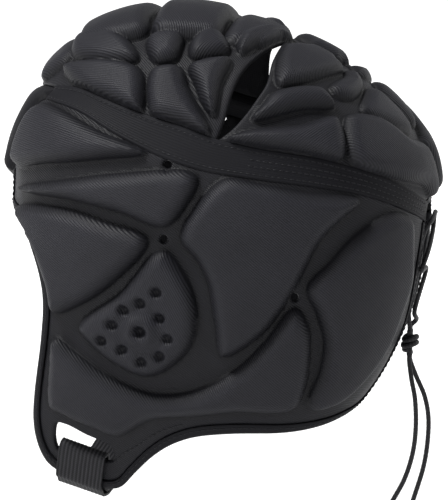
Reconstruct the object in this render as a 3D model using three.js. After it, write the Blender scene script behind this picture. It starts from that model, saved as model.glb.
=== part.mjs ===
// Rugby scrum cap on its own head shape. Millimetres, +Z up, the wearer faces -X.
// The origin is the top of the head inside the crown. Left and right mirror about Y = 0.
import * as THREE from "three";

// Head shape, measured from the ear centre
const FRONT_LENGTH = 106;
const BACK_LENGTH = 105;
const HALF_WIDTH = 80;
const CROWN_RISE = 82.5;
const CROWN_LEAN = 0.22;
const NAPE_DROP = 150;
const NAPE_ROUND = 2;
const JAW_DROP = 200;
const JAW_REACH = 45;
const JAW_LEVEL = 120;
const PLAN_ROUND = 2.3;
const CROWN_ROUND = 2;

// Cloth and foam
const BORDER = 2.6;
const FOAM = 7;
const BROW_FADE = 0.018;
const ROLL = 6.5;
const SEAM_GAP = 0.22;
const BINDING_WIDTH = 4.4;
const BINDING_THICK = 3.4;
const TAPE_THICK = 2;
const TAPE_SHARE = 0.42;
const VENT_RADIUS = 2;
const PIT_RADIUS = 2.4;
const PIT_DEPTH = 5;

// Webbing and lace
const STRAP_WIDTH = 25;
const STRAP_THICK = 1.4;
const STRAP_SAG = 2.5;
const LACE_DIAMETER = 2.5;
const KNOT_LENGTH = 13;

// The sheet that the outlines are drawn on, in squares, seen from behind the left ear
const SQUARE = 0.52;
const SHEET_ACROSS = 224.5;
const SHEET_DOWN = 184;
const SHEET_TURN = 10 * Math.PI / 180;
const SHEET_TILT = 10 * Math.PI / 180;
const EYE_DISTANCE = 1400;
const DRAWN_HEIGHT = BORDER;
const HALF_SHARE = 0.985;

// Mesh steps in millimetres
const EDGE_STEP = 8.5;
const SIDE_STEP = 8;
const CROWN_STEP = 7;
const FILL_STEP = 15;
const LINING_STEP = 22;

const RING_SHARES = [0, 0.4, 1];

const CHART = 100;
const CENTRE = new THREE.Vector3(0, 0, -CROWN_RISE);

// Share of the head left at a given drop, one at the top and nothing at the end
function taper(share, round) {
  return Math.max(1 - Math.min(share, 1) ** round, 1e-6) ** (1 / round);
}

// Below one inside the head shape grown by a height, above one outside
function fullness(spot, height) {
  const drop = Math.max(-spot.z, 0);
  const rise = Math.max(spot.z, 0) * (1 + CROWN_LEAN * spot.x / FRONT_LENGTH);
  const wall = taper(drop / JAW_DROP, PLAN_ROUND);
  const nape = taper(drop / NAPE_DROP, NAPE_ROUND);
  const jaw = JAW_REACH * (drop / JAW_LEVEL) ** 1.5;
  const length = spot.x < 0 ? FRONT_LENGTH * wall + jaw : BACK_LENGTH * nape;
  const across = Math.abs(spot.x) / (length + height);
  const aside = Math.abs(spot.y) / (HALF_WIDTH * wall + height);
  const ring = across ** PLAN_ROUND + aside ** PLAN_ROUND;
  return ring ** (CROWN_ROUND / PLAN_ROUND) + (rise / (CROWN_RISE + height)) ** CROWN_ROUND;
}

// Point of the head shape along a direction from the ear centre
function reach(direction) {
  let near = 10;
  let far = 300;
  for (let turn = 0; turn < 32; turn += 1) {
    const middle = (near + far) / 2;
    if (fullness(direction.clone().multiplyScalar(middle), 0) < 1) near = middle;
    else far = middle;
  }
  return direction.clone().multiplyScalar(near);
}

function outward(spot) {
  const step = 0.5;
  const slope = ["x", "y", "z"].map((axis) => {
    const ahead = spot.clone();
    const behind = spot.clone();
    ahead[axis] += step;
    behind[axis] -= step;
    return fullness(ahead, 0) - fullness(behind, 0);
  });
  return new THREE.Vector3(...slope).normalize();
}

// The chart is a flat map of the head: p to the back, q up, the midline is its rim
function place(p, q, height) {
  const share = (p * p + q * q) / (CHART * CHART);
  const onRim = Math.abs(share - 1) < 1e-6;
  const direction = new THREE.Vector3(2 * p / CHART, share - 1, 2 * q / CHART).normalize();
  const spot = reach(direction);
  const normal = outward(spot);
  if (onRim) {
    spot.y = 0;
    normal.y = 0;
    normal.normalize();
  }
  return spot.addScaledVector(normal, height).add(CENTRE);
}

// Millimetres on the head for one unit of the chart
function chartScale([p, q]) {
  const wide = place(p + 1, q, 0).distanceTo(place(p - 1, q, 0));
  const tall = place(p, q + 1, 0).distanceTo(place(p, q - 1, 0));
  return (wide + tall) / 4;
}

// Chart point under a square of the drawn sheet
function drawn([square, down]) {
  const toEye = new THREE.Vector3(
    Math.sin(SHEET_TURN) * Math.cos(SHEET_TILT),
    -Math.cos(SHEET_TURN) * Math.cos(SHEET_TILT),
    Math.sin(SHEET_TILT));
  const right = new THREE.Vector3(Math.cos(SHEET_TURN), Math.sin(SHEET_TURN), 0);
  const up = toEye.clone().cross(right);
  const eye = toEye.clone().multiplyScalar(EYE_DISTANCE);
  const aim = right.multiplyScalar((square - SHEET_ACROSS) * SQUARE)
    .addScaledVector(up, (SHEET_DOWN - down) * SQUARE)
    .sub(eye)
    .normalize();
  const level = (distance) => fullness(eye.clone().addScaledVector(aim, distance), DRAWN_HEIGHT);
  let near = EYE_DISTANCE - 150;
  let best = near;
  while (near < EYE_DISTANCE + 60 && level(near) > 1) {
    if (level(near) < level(best)) best = near;
    near += 1;
  }
  if (level(near) < 1) {
    let far = near;
    near -= 1;
    for (let turn = 0; turn < 12; turn += 1) {
      best = (near + far) / 2;
      if (level(best) > 1) near = best;
      else far = best;
    }
  }
  const spot = eye.addScaledVector(aim, best).normalize();
  const found = [CHART * spot.x / (1 - spot.y), CHART * spot.z / (1 - spot.y)];
  const onHalf = Math.min(1, CHART * HALF_SHARE / Math.hypot(...found));
  return found.map((value) => value * onHalf);
}

// Chart point at an angle about the ear, with the midline at a share of one
function polar(degrees, share) {
  const angle = degrees * Math.PI / 180;
  return [CHART * share * Math.cos(angle), CHART * share * Math.sin(angle)];
}

// Chart point at an angle about the ear and a distance in millimetres to the left of the midline
function beside(degrees, wide) {
  const angle = degrees * Math.PI / 180;
  const radius = reach(new THREE.Vector3(Math.cos(angle), 0, Math.sin(angle))).length();
  return polar(degrees, Math.tan(Math.PI / 4 - wide / radius / 2));
}

// The same spot on the right half, which lies outside the rim of the chart
function across([p, q]) {
  const size = (CHART * CHART) / (p * p + q * q);
  return [p * size, q * size];
}

// Angle about the ear, from the back over the crown to below the brow
function rimAngle([p, q]) {
  const angle = Math.atan2(q, p) * 180 / Math.PI;
  return angle < -120 ? angle + 360 : angle;
}

function between(a, b, share) {
  return [a[0] + (b[0] - a[0]) * share, a[1] + (b[1] - a[1]) * share];
}

function gap(a, b) {
  return Math.hypot(a[0] - b[0], a[1] - b[1]);
}

// Smooth open line through chart points, cut into even pieces
function smoothLine(corners, pieces) {
  const curve = new THREE.CatmullRomCurve3(
    corners.map(([p, q]) => new THREE.Vector3(p, q, 0)), false, "centripetal");
  return curve.getSpacedPoints(pieces).map((v) => [v.x, v.y]);
}

function lineLength(line) {
  return line.slice(1).reduce((sum, spot, i) => {
    const middle = between(spot, line[i], 0.5);
    return sum + gap(spot, line[i]) * chartScale(middle);
  }, 0);
}

function evenLoop(corners, step) {
  const curve = new THREE.CatmullRomCurve3(
    corners.map(([p, q]) => new THREE.Vector3(p, q, 0)), true, "centripetal");
  const rough = curve.getSpacedPoints(60).map((v) => [v.x, v.y]);
  const pieces = Math.max(6, Math.round(lineLength(rough) / step));
  const loop = curve.getSpacedPoints(pieces).slice(0, pieces).map((v) => [v.x, v.y]);
  return turned(loop);
}

function area(loop) {
  return loop.reduce((sum, [p, q], i) => {
    const next = loop[(i + 1) % loop.length];
    return sum + p * next[1] - q * next[0];
  }, 0) / 2;
}

// The same loop, running anticlockwise
function turned(loop) {
  return area(loop) < 0 ? loop.slice().reverse() : loop;
}

function inside([p, q], loop) {
  let odd = false;
  loop.forEach(([a, b], i) => {
    const [c, d] = loop[(i + loop.length - 1) % loop.length];
    if ((b > q) !== (d > q) && p < (c - a) * (q - b) / (d - b) + a) odd = !odd;
  });
  return odd;
}

function edgeDistance(spot, loop) {
  let best = Infinity;
  loop.forEach((start, i) => {
    const end = loop[(i + 1) % loop.length];
    const run = [end[0] - start[0], end[1] - start[1]];
    const along = (spot[0] - start[0]) * run[0] + (spot[1] - start[1]) * run[1];
    const share = Math.min(1, Math.max(0, along / (run[0] ** 2 + run[1] ** 2 || 1)));
    best = Math.min(best, gap(spot, between(start, end, share)));
  });
  return best;
}

// Loop moved inward by a width in millimetres; points on the midline stay on it
function inset(loop, width) {
  const onRim = ([p, q]) => Math.abs(Math.hypot(p, q) - CHART) < 1e-6;
  return loop.map((spot, i) => {
    const before = loop[(i + loop.length - 1) % loop.length];
    const after = loop[(i + 1) % loop.length];
    const shift = width / chartScale(spot);
    const unit = (a, b) => {
      const length = gap(a, b) || 1;
      return [-(b[1] - a[1]) / length, (b[0] - a[0]) / length];
    };
    if (onRim(spot)) {
      const free = onRim(before) ? (onRim(after) ? null : after) : before;
      if (!free) return spot;
      const neighbour = onRim(before) ? before : after;
      const turn = Math.sign(rimAngle(neighbour) - rimAngle(spot));
      return polar(rimAngle(spot) + turn * shift * 180 / (Math.PI * CHART), 1);
    }
    const first = unit(before, spot);
    const second = unit(spot, after);
    const sum = [first[0] + second[0], first[1] + second[1]];
    const mitre = Math.max(1 + first[0] * second[0] + first[1] * second[1], 0.5);
    return [spot[0] + sum[0] * shift / mitre, spot[1] + sum[1] * shift / mitre];
  });
}

// Triangles of a flat point set, by growing circles swept from the left
function triangulate(spots) {
  const nudge = (i, seed) => 1e-5 * Math.sin(i * 12.9898 + seed);
  const flat = spots.map(([p, q], i) => [p + nudge(i, 1), q + nudge(i, 2)]);
  const count = flat.length;
  flat.push([-4000, -3000], [4000, -3000], [0, 5000]);
  const circle = (a, b, c) => {
    const [ax, ay] = flat[a];
    const [bx, by] = [flat[b][0] - ax, flat[b][1] - ay];
    const [cx, cy] = [flat[c][0] - ax, flat[c][1] - ay];
    const twice = 2 * (bx * cy - by * cx);
    const x = (cy * (bx * bx + by * by) - by * (cx * cx + cy * cy)) / twice;
    const y = (bx * (cx * cx + cy * cy) - cx * (bx * bx + by * by)) / twice;
    return { a, b, c, x: ax + x, y: ay + y, size: x * x + y * y };
  };
  const order = flat.slice(0, count).map((_, i) => i).sort((i, j) => flat[i][0] - flat[j][0]);
  let open = [circle(count, count + 1, count + 2)];
  const done = [];
  for (const i of order) {
    const [x, y] = flat[i];
    const edges = new Map();
    const kept = [];
    for (const tri of open) {
      const dx = x - tri.x;
      if (dx > 0 && dx * dx > tri.size) {
        done.push(tri);
      } else if (dx * dx + (y - tri.y) ** 2 > tri.size) {
        kept.push(tri);
      } else {
        for (const [s, t] of [[tri.a, tri.b], [tri.b, tri.c], [tri.c, tri.a]]) {
          if (edges.has(`${t} ${s}`)) edges.delete(`${t} ${s}`);
          else edges.set(`${s} ${t}`, [s, t]);
        }
      }
    }
    for (const [s, t] of edges.values()) kept.push(circle(s, t, i));
    open = kept;
  }
  return done.concat(open)
    .filter(({ a, b, c }) => Math.max(a, b, c) < count)
    .map(({ a, b, c }) => [a, b, c]);
}

function middleOf(spots, [a, b, c]) {
  return [0, 1].map((k) => (spots[a][k] + spots[b][k] + spots[c][k]) / 3);
}

// Triangles that keep to the cloth between an outline and its holes
function patch(loops, extra) {
  const spots = loops.flat().concat(extra);
  const triangles = triangulate(spots).filter((triangle) => {
    const middle = middleOf(spots, triangle);
    return inside(middle, loops[0]) && !loops.slice(1).some((hole) => inside(middle, hole));
  });
  const edges = new Set();
  for (const [a, b, c] of triangles) {
    for (const [s, t] of [[a, b], [b, c], [c, a]]) {
      edges.add(`${s} ${t}`);
      edges.add(`${t} ${s}`);
    }
  }
  let first = 0;
  let missing = 0;
  const finer = loops.map((loop) => {
    const start = first;
    first += loop.length;
    return loop.flatMap((spot, i) => {
      const next = (i + 1) % loop.length;
      if (edges.has(`${start + i} ${start + next}`)) return [spot];
      missing += 1;
      const halfway = between(spot, loop[next], 0.5);
      const onRim = [spot, loop[next]].every(([p, q]) => Math.abs(Math.hypot(p, q) - CHART) < 1e-6);
      return [spot, onRim ? polar(rimAngle(halfway), 1) : halfway];
    });
  });
  return { spots, triangles, loops: finer, missing };
}

// Even filling of a region, clear of the points that are there already
function filling(loops, taken, step) {
  const spots = [];
  const loop = loops[0];
  const low = [0, 1].map((k) => Math.min(...loop.map((spot) => spot[k])));
  const high = [0, 1].map((k) => Math.max(...loop.map((spot) => spot[k])));
  const all = taken.slice();
  const pitch = step / 1.35;
  let row = 0;
  for (let q = low[1]; q < high[1]; q += pitch * 0.87) {
    row += 1;
    for (let p = low[0] + (row % 2) * pitch / 2; p < high[0]; p += pitch) {
      const spot = [p, q];
      if (!inside(spot, loop)) continue;
      if (loops.slice(1).some((hole) => inside(spot, hole))) continue;
      const clear = 0.62 * step / chartScale(spot);
      if (all.some((other) => gap(other, spot) < clear)) continue;
      spots.push(spot);
      all.push(spot);
    }
  }
  return spots;
}

// Pillow height over one pad, at a distance in from its edge
function pillow(pad, distance, up) {
  const share = Math.min(distance / pad.roll, 1);
  return pad.rise * (1 - (pad.fade ?? 0) * up) * Math.sqrt(1 - (1 - share) ** 2);
}

// Outer height of a panel at a chart point
function panelHeight(spot, pads, pits) {
  const scale = chartScale(spot);
  let height = BORDER;
  for (const pad of pads) {
    if (!inside(spot, pad.loop)) continue;
    const depth = edgeDistance(spot, pad.loop) * scale;
    height = Math.max(height, BORDER + pillow(pad, depth, spot[1]));
  }
  for (const pit of pits) {
    if (gap(spot, pit) * scale < PIT_RADIUS * 0.5) height -= PIT_DEPTH;
  }
  return height;
}

// Rings of points that give each pad its edge, its round shoulder and its top
function padRings(pads, loops, pits) {
  const spots = [];
  const edge = loops.flat();
  const add = (spot, clear) => {
    if (!inside(spot, loops[0])) return;
    if (loops.slice(1).some((hole) => inside(spot, hole))) return;
    const scale = chartScale(spot);
    if (Math.min(...loops.map((loop) => edgeDistance(spot, loop))) * scale < 1.2) return;
    if (edge.some((other) => gap(other, spot) * scale < clear * 0.6)) return;
    if (spots.some((other) => gap(other, spot) * scale < clear)) return;
    spots.push(spot);
  };
  for (const pit of pits) {
    const scale = chartScale(pit);
    spots.push(pit);
    for (let turn = 0; turn < 5; turn += 1) {
      const angle = turn * Math.PI * 2 / 5;
      const size = PIT_RADIUS / scale;
      spots.push([pit[0] + size * Math.cos(angle), pit[1] + size * Math.sin(angle)]);
    }
  }
  for (const share of RING_SHARES) {
    for (const pad of pads) {
      inset(pad.loop, share * pad.roll).forEach((spot) => {
        const depth = edgeDistance(spot, pad.loop) * chartScale(spot);
        if (share > 0 && (!inside(spot, pad.loop) || depth < share * pad.roll * 0.9)) return;
        add(spot, share > 0 ? 2.2 : 1.6);
      });
    }
  }
  return spots;
}

// Closed panel between the head and its padded outer face
function panelSolid({ outline, holes = [], pads, pits = [], whole = false }) {
  let loops = [outline, ...holes];
  let outer;
  let lining;
  for (let round = 0; round < 8; round += 1) {
    const rings = padRings(pads, loops, pits);
    outer = patch(loops, rings.concat(filling(loops, loops.flat().concat(rings), FILL_STEP)));
    lining = patch(outer.loops, filling(outer.loops, outer.loops.flat(), LINING_STEP));
    if (outer.missing + lining.missing === 0) break;
    loops = lining.loops;
  }
  const points = [];
  const faces = [];
  const outerAt = outer.spots.map(([p, q]) =>
    points.push(place(p, q, panelHeight([p, q], pads, pits))) - 1);
  const liningAt = lining.spots.map(([p, q]) => points.push(place(p, q, 0)) - 1);
  const edges = new Set();
  for (const [a, b, c] of outer.triangles) {
    faces.push([outerAt[a], outerAt[b], outerAt[c]]);
    for (const [s, t] of [[a, b], [b, c], [c, a]]) edges.add(`${s} ${t}`);
  }
  for (const [a, b, c] of lining.triangles) faces.push([liningAt[c], liningAt[b], liningAt[a]]);
  for (const edge of edges) {
    const [s, t] = edge.split(" ").map(Number);
    if (edges.has(`${t} ${s}`)) continue;
    const onRim = [s, t].every((i) => Math.abs(Math.hypot(...outer.spots[i]) - CHART) < 1e-6);
    if (whole && onRim) continue;
    faces.push([outerAt[t], outerAt[s], liningAt[s]], [outerAt[t], liningAt[s], liningAt[t]]);
  }
  if (whole) {
    const count = points.length;
    const flat = points.map((v) => Math.abs(v.y) < 1e-6);
    for (const v of points.slice()) points.push(new THREE.Vector3(v.x, -v.y, v.z));
    const twin = (i) => (flat[i] ? i : i + count);
    for (const [a, b, c] of faces.slice()) faces.push([twin(c), twin(b), twin(a)]);
  }
  return { points, faces };
}

// Closed tube through rings of points, open-ended ones capped
function loft(rings, closed = false) {
  const points = rings.flat();
  const size = rings[0].length;
  const faces = [];
  const last = closed ? rings.length : rings.length - 1;
  for (let i = 0; i < last; i += 1) {
    const here = i * size;
    const there = ((i + 1) % rings.length) * size;
    for (let k = 0; k < size; k += 1) {
      const next = (k + 1) % size;
      faces.push([here + k, here + next, there + next], [here + k, there + next, there + k]);
    }
  }
  if (!closed) {
    const end = (rings.length - 1) * size;
    for (let k = 1; k < size - 1; k += 1) {
      faces.push([0, k + 1, k], [end, end + k, end + k + 1]);
    }
  }
  return outFacing({ points, faces });
}

function outFacing({ points, faces }) {
  const volume = faces.reduce((sum, [a, b, c]) =>
    sum + points[a].dot(points[b].clone().cross(points[c])), 0);
  return { points, faces: volume < 0 ? faces.map(([a, b, c]) => [c, b, a]) : faces };
}

function mirrored({ points, faces }) {
  return {
    points: points.map((v) => new THREE.Vector3(v.x, -v.y, v.z)),
    faces: faces.map(([a, b, c]) => [c, b, a]),
  };
}

const group = new THREE.Group();

function addPiece(name, { points, faces }, color, roughness) {
  const geometry = new THREE.BufferGeometry();
  geometry.setAttribute("position",
    new THREE.Float32BufferAttribute(points.flatMap((v) => v.toArray()), 3));
  geometry.setIndex(faces.flat());
  geometry.computeVertexNormals();
  const material = new THREE.MeshStandardMaterial({ color, roughness, metalness: 0 });
  const mesh = new THREE.Mesh(geometry, material);
  mesh.name = name;
  group.add(mesh);
}

// Seam lines that pieces share, drawn on the sheet as across and down
const SEAM_LINES = {
  tapeLow: [[47, 97], [80, 110], [110, 129], [150, 150], [200, 168], [260, 178], [320, 186],
    [370, 195], [418, 214]],
  tapeFront: [[55, 87], [80, 90], [110, 103], [150, 118], [178, 127]],
  tapeBack: [[260, 151], [320, 161], [380, 178], [428, 202]],
  brow: [[47, 97], [36, 105], [29, 120], [22, 135], [17, 155], [15, 182]],
  ventFront: [[217, 141], [226, 118], [233, 92], [244, 70], [262, 53], [284, 42]],
  ventBack: [[217, 141], [237, 125], [256, 101], [268, 82], [273, 62], [284, 42]],
};

// Free edge of a side panel, from the brow round the face and the chin to the nape
const FACE_EDGE = [[15, 182], [14, 202], [21, 222], [30, 250], [38, 280], [41, 305], [38, 350],
  [33, 390], [31, 420], [34, 443], [44, 465], [56, 475], [80, 485], [102, 493], [113, 494],
  [124, 489], [142, 470], [169, 451], [205, 441], [250, 438], [301, 433], [337, 420]];

// Rear edge up the laced gap: angle about the ear, and millimetres from the midline
const REAR_EDGE = [[-56, 12], [-49, 5], [-42, 3], [-36, 4.5], [-30, 9], [-21, 14], [-13, 14.5],
  [-7, 13.5]];

const MIDLINE_ANGLES = { browTop: 153, browLow: 183, crownSplit: 62, rear: -4 };

// Pads as corners on the sheet, with their rise and the width of the rolled edge
const SIDE_PADS = [
  { name: "brow_upper", corners: [[36, 112], [46, 105], [62, 111], [103, 134], [146, 152],
    [100, 158], [50, 162], [20, 161]] },
  { name: "brow_middle", corners: [[22, 188], [60, 181], [120, 174], [188, 172], [198, 180],
    [186, 205], [165, 226], [120, 211], [70, 198]] },
  { name: "brow_lower", corners: [[21, 209], [60, 209], [105, 223], [147, 241], [112, 284],
    [80, 306], [54, 314], [47, 285], [36, 250]] },
  { name: "ear", corners: [[162, 252], [184, 275], [197, 312], [194, 342], [178, 364],
    [150, 378], [118, 367], [92, 346], [80, 328], [120, 296]] },
  { name: "side", corners: [[226, 180], [262, 185], [310, 194], [360, 201], [344, 216],
    [321, 240], [305, 270], [289, 300], [262, 336], [222, 358], [217, 330], [210, 285],
    [198, 260], [182, 238], [199, 205]] },
  { name: "back", corners: [[394, 212], [408, 219], [409, 245], [406, 280], [396, 312],
    [381, 348], [360, 378], [334, 402], [308, 408], [321, 370], [325, 343], [318, 314],
    [309, 290], [331, 264], [352, 240], [376, 221]] },
  { name: "jaw", corners: [[54, 342], [75, 357], [108, 381], [150, 398], [185, 398], [214, 388],
    [243, 369], [267, 345], [297, 311], [309, 330], [310, 352], [306, 382], [294, 408],
    [240, 414], [190, 419], [150, 423], [120, 438], [96, 431], [66, 418], [50, 408],
    [50, 372]] },
];

// Round pits over the ear, holes right through, and the slot for the strap, on the sheet
const EAR_PITS = [[143, 331], [159, 292], [143, 303], [126, 310], [115, 325], [105, 341],
  [125, 350], [144, 362], [162, 356], [170, 339], [162, 318]];
const VENT_HOLES = [[167, 164], [163, 240], [297, 300]];
const STRAP_SLOT = [[54, 429], [64, 430], [84, 440], [108, 451], [112, 457], [112, 466],
  [83, 461], [55, 453]];

const CROWN_FRONT_PADS = [
  { name: "low_1", corners: [[67, 70], [138, 70], [140, 112], [112, 101], [78, 87]] },
  { name: "low_2", corners: [[153, 72], [178, 69], [188, 90], [209, 134], [178, 122],
    [153, 115]] },
  { name: "low_3", corners: [[190, 68], [230, 62], [221, 86], [214, 116], [204, 105],
    [196, 86]] },
  { name: "high_1", corners: [[76, 60], [80, 46], [100, 35], [118, 37], [134, 51], [136, 62]] },
  { name: "high_2", corners: [[147, 44], [155, 38], [181, 39], [180, 52], [174, 62],
    [156, 64]] },
  { name: "high_3", corners: [[192, 44], [204, 36], [218, 37], [228, 54], [192, 60]] },
  { name: "high_4", corners: [[238, 42], [262, 34], [288, 36], [282, 41], [258, 49],
    [241, 56]] },
];

// Pads across the midline: angles about the ear at their ends, half widths in millimetres
// and foam as a share of the usual thickness
const CROWN_MIDDLE_PADS = [
  { name: "middle_1", from: 149, to: 136, startWide: 26, endWide: 30, foam: 0.65 },
  { name: "middle_2", from: 134, to: 113, startWide: 32, endWide: 35, foam: 1.05 },
  { name: "middle_3", from: 111, to: 88, startWide: 36, endWide: 34, foam: 1.15 },
  { name: "middle_4", from: 86, to: 65, startWide: 33, endWide: 25, foam: 0.75 },
];

// Crown pads behind the vents; those next to the midline give that edge as angles
const CROWN_BACK_PADS = [
  { name: "back_1", corners: [[284, 50], [342, 73], [300, 86], [280, 88]],
    midline: [46, 60], foam: 0.8 },
  { name: "back_2", corners: [[276, 95], [320, 93], [334, 109], [300, 112], [254, 121],
    [264, 107]] },
  { name: "back_3", corners: [[228, 141], [250, 132], [300, 128], [336, 121], [342, 160],
    [300, 152], [256, 146]] },
  { name: "back_4", corners: [[352, 102], [338, 99], [331, 91], [346, 80]],
    midline: [37, 43], foam: 0.65 },
  { name: "back_5", corners: [[422, 186], [396, 179], [354, 164], [347, 120], [378, 122],
    [404, 141]], midline: [-1, 14], foam: 0.85 },
  { name: "back_6", corners: [[400, 134], [384, 127], [363, 114], [364, 102]],
    midline: [17, 34], foam: 0.6 },
];

// Lace over the laced gap: angle, millimetres right of the midline, height over the head
const LACE_ROUTE = [[-35, 0.6, 7.2], [-32.5, -7, 5.4], [-24, 16, 5.2], [-20, -17, 5.2],
  [-16, -10, 5.2], [-12, 18, 5.2], [-9, 18.5, 5.2], [-7.4, 14, 5.2], [-7.4, -9, 5.0],
  [-8.4, -11.6, 4.0], [-12, -11.5, 1.8], [-18, -11.2, 1.8], [-24, -9, 1.8], [-30, -5.4, 1.8],
  [-33.5, -3, 2.4]];
const KNOT_ANGLE = -40.5;
const KNOT_HEIGHT = 8.6;
const KNOT_RINGS = [[-1, 0.64], [-0.8, 0.95], [-0.45, 1.1], [-0.1, 0.8], [0.3, 1.15],
  [0.75, 0.95], [1, 0.64]];
const CORD_APART = 1.7;
const CORD_GAP = 0.3;

// Free lace ends below the knot, in millimetres
const LACE_END_1 = [[98, -1.7, -169.65], [98, -1.72, -172], [99.4, -3, -181.5], [101.5, -4, -192], [102.2, -4.4, -207],
  [100.8, -4.6, -221], [96.8, -4.6, -235], [91.4, -4.4, -246], [88.2, -4.2, -252]];
const LACE_END_2 = [[98, 1.7, -169.65], [98, 1.72, -172], [101.2, 3.2, -181.5], [105.6, 4, -192], [107.8, 4.2, -203],
  [107.6, 4.4, -217], [105.6, 4.6, -231], [101.4, 4.8, -246], [99.6, 4.8, -252]];

function padLoops(pads, step) {
  return pads.map(({ corners, midline, foam = 1 }) => {
    const spots = corners.map(drawn);
    if (midline) {
      const [rear, front] = midline;
      spots.push(beside(rear, 9), beside(rear + 2, 5), beside((rear + front) / 2, 4),
        beside(front - 2, 5), beside(front, 9));
      const middle = spots.reduce((sum, [p, q]) => [sum[0] + p, sum[1] + q], [0, 0])
        .map((sum) => sum / spots.length);
      spots.sort((a, b) => Math.atan2(a[1] - middle[1], a[0] - middle[0])
        - Math.atan2(b[1] - middle[1], b[0] - middle[0]));
    }
    return { rise: FOAM * foam, roll: ROLL, loop: evenLoop(spots, step) };
  });
}

// The points of a half loop, started where it leaves the midline
function fromRim(spots) {
  const jumps = spots.map((spot, i) => gap(spot, spots.at(i - 1)));
  const start = jumps.indexOf(Math.max(...jumps));
  return [...spots.slice(start), ...spots.slice(0, start)];
}

// Loop of a pad that lies on both halves, from its left half
function bothHalves(left, step) {
  return evenLoop([...left, ...left.slice().reverse().map(across)], step);
}

function middlePads(table) {
  return table.map(({ from, to, startWide, endWide, foam }) => {
    const wide = (startWide + endWide) / 2;
    const left = [beside(from, startWide * 0.5), beside(from, startWide - 4),
      beside(from - 3, startWide), beside((from + to) / 2, wide + 1), beside(to + 3, endWide),
      beside(to, endWide - 4), beside(to, endWide * 0.5)];
    return { rise: FOAM * foam, roll: ROLL, loop: bothHalves(left, CROWN_STEP) };
  });
}

// Points along the midline between two angles, without its ends
function rimLine(from, to) {
  const pieces = Math.max(2, Math.round(Math.abs(to - from) / 5));
  return Array.from({ length: pieces - 1 },
    (_, i) => polar(from + (to - from) * (i + 1) / pieces, 1));
}

function evenLine(corners, step = EDGE_STEP) {
  const pieces = Math.round(lineLength(smoothLine(corners, 60)) / step);
  return smoothLine(corners, Math.max(2, pieces));
}

const rimAt = Object.fromEntries(
  Object.entries(MIDLINE_ANGLES).map(([key, angle]) => [key, polar(angle, 1)]));
const rear = REAR_EDGE.map(([angle, wide]) => beside(angle, wide));
const tapeLow = evenLine([...SEAM_LINES.tapeLow.map(drawn), rear.at(-1)]);
const ventEnds = [drawn(SEAM_LINES.ventFront[0]), drawn(SEAM_LINES.ventFront.at(-1))];
const ventCorner = Math.round((tapeLow.length - 1) * TAPE_SHARE);
const tapeHigh = [
  ...smoothLine([...SEAM_LINES.tapeFront.map(drawn), ventEnds[0]], ventCorner).slice(0, -1),
  ...smoothLine([ventEnds[0], ...SEAM_LINES.tapeBack.map(drawn), beside(-1.5, 8)],
    tapeLow.length - 1 - ventCorner),
];
const ventFront = evenLine([ventEnds[0], ...SEAM_LINES.ventFront.slice(1, -1).map(drawn),
  ventEnds[1]]);
const ventBack = evenLine([ventEnds[0], ...SEAM_LINES.ventBack.slice(1, -1).map(drawn),
  ventEnds[1]]);
const freeEdge = evenLine([...FACE_EDGE.map(drawn), ...rear]);
const brow = evenLine([tapeLow[0], ...SEAM_LINES.brow.slice(1, -1).map(drawn), freeEdge[0]]);
const browLow = evenLine([rimAt.browLow, freeEdge[0]]);
const browTop = evenLine([rimAt.browTop, tapeHigh[0]]);
const topSeam = evenLine([ventEnds[1], rimAt.crownSplit]);
const rearSeam = evenLine([tapeHigh.at(-1), rimAt.rear], 5);

const onMidline = (spot) => Math.abs(Math.hypot(...spot) - CHART) < 1e-6;

// An open line moved to its left by a width in millimetres; ends on the midline stay on it
function shifted(line, width) {
  const normals = line.slice(1).map((spot, i) => {
    const length = gap(spot, line[i]) || 1;
    return [-(spot[1] - line[i][1]) / length, (spot[0] - line[i][0]) / length];
  });
  return line.map((spot, i) => {
    const first = normals[Math.max(i - 1, 0)];
    const second = normals[Math.min(i, normals.length - 1)];
    const mitre = Math.max(1 + first[0] * second[0] + first[1] * second[1], 0.6);
    const shift = width / chartScale(spot) / mitre;
    const moved = [spot[0] + (first[0] + second[0]) * shift,
      spot[1] + (first[1] + second[1]) * shift];
    return onMidline(spot) ? polar(rimAngle(moved), 1) : moved;
  });
}

// Two lines cut where the first runs into the second
function joined(first, second) {
  for (let i = first.length - 1; i > 0; i -= 1) {
    for (let j = 1; j < second.length; j += 1) {
      const [a, b, c, d] = [first[i - 1], first[i], second[j - 1], second[j]];
      const run = [b[0] - a[0], b[1] - a[1]];
      const way = [d[0] - c[0], d[1] - c[1]];
      const turn = run[0] * way[1] - run[1] * way[0];
      const s = ((c[0] - a[0]) * way[1] - (c[1] - a[1]) * way[0]) / turn;
      const t = ((c[0] - a[0]) * run[1] - (c[1] - a[1]) * run[0]) / turn;
      if (s >= -1e-9 && s <= 1 + 1e-9 && t >= -1e-9 && t <= 1 + 1e-9) {
        const meeting = between(a, b, s);
        return [[...first.slice(0, i), meeting], [meeting, ...second.slice(j)]];
      }
    }
  }
  return [first, second];
}

// A panel outline from lines laid end to end, each moved in by its own width
function outlineOf(lines) {
  const side = area(lines.flatMap(({ line }) => line)) > 0 ? 1 : -1;
  const moved = lines.map(({ line, width = SEAM_GAP }) => shifted(line, width * side));
  const open = onMidline(lines[0].line[0]);
  moved.forEach((line, i) => {
    const next = (i + 1) % moved.length;
    if (open && next === 0) return;
    [moved[i], moved[next]] = joined(moved[i], moved[next]);
  });
  const loop = moved.flat();
  if (open) loop.push(...rimLine(rimAngle(loop.at(-1)), rimAngle(loop[0])));
  const clean = loop.filter((spot, i) => gap(spot, loop[(i + 1) % loop.length]) > 0.15);
  return turned(clean);
}

const back = (line) => line.slice().reverse();
const BOUND = BINDING_WIDTH + 1.5 * SEAM_GAP;

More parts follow.
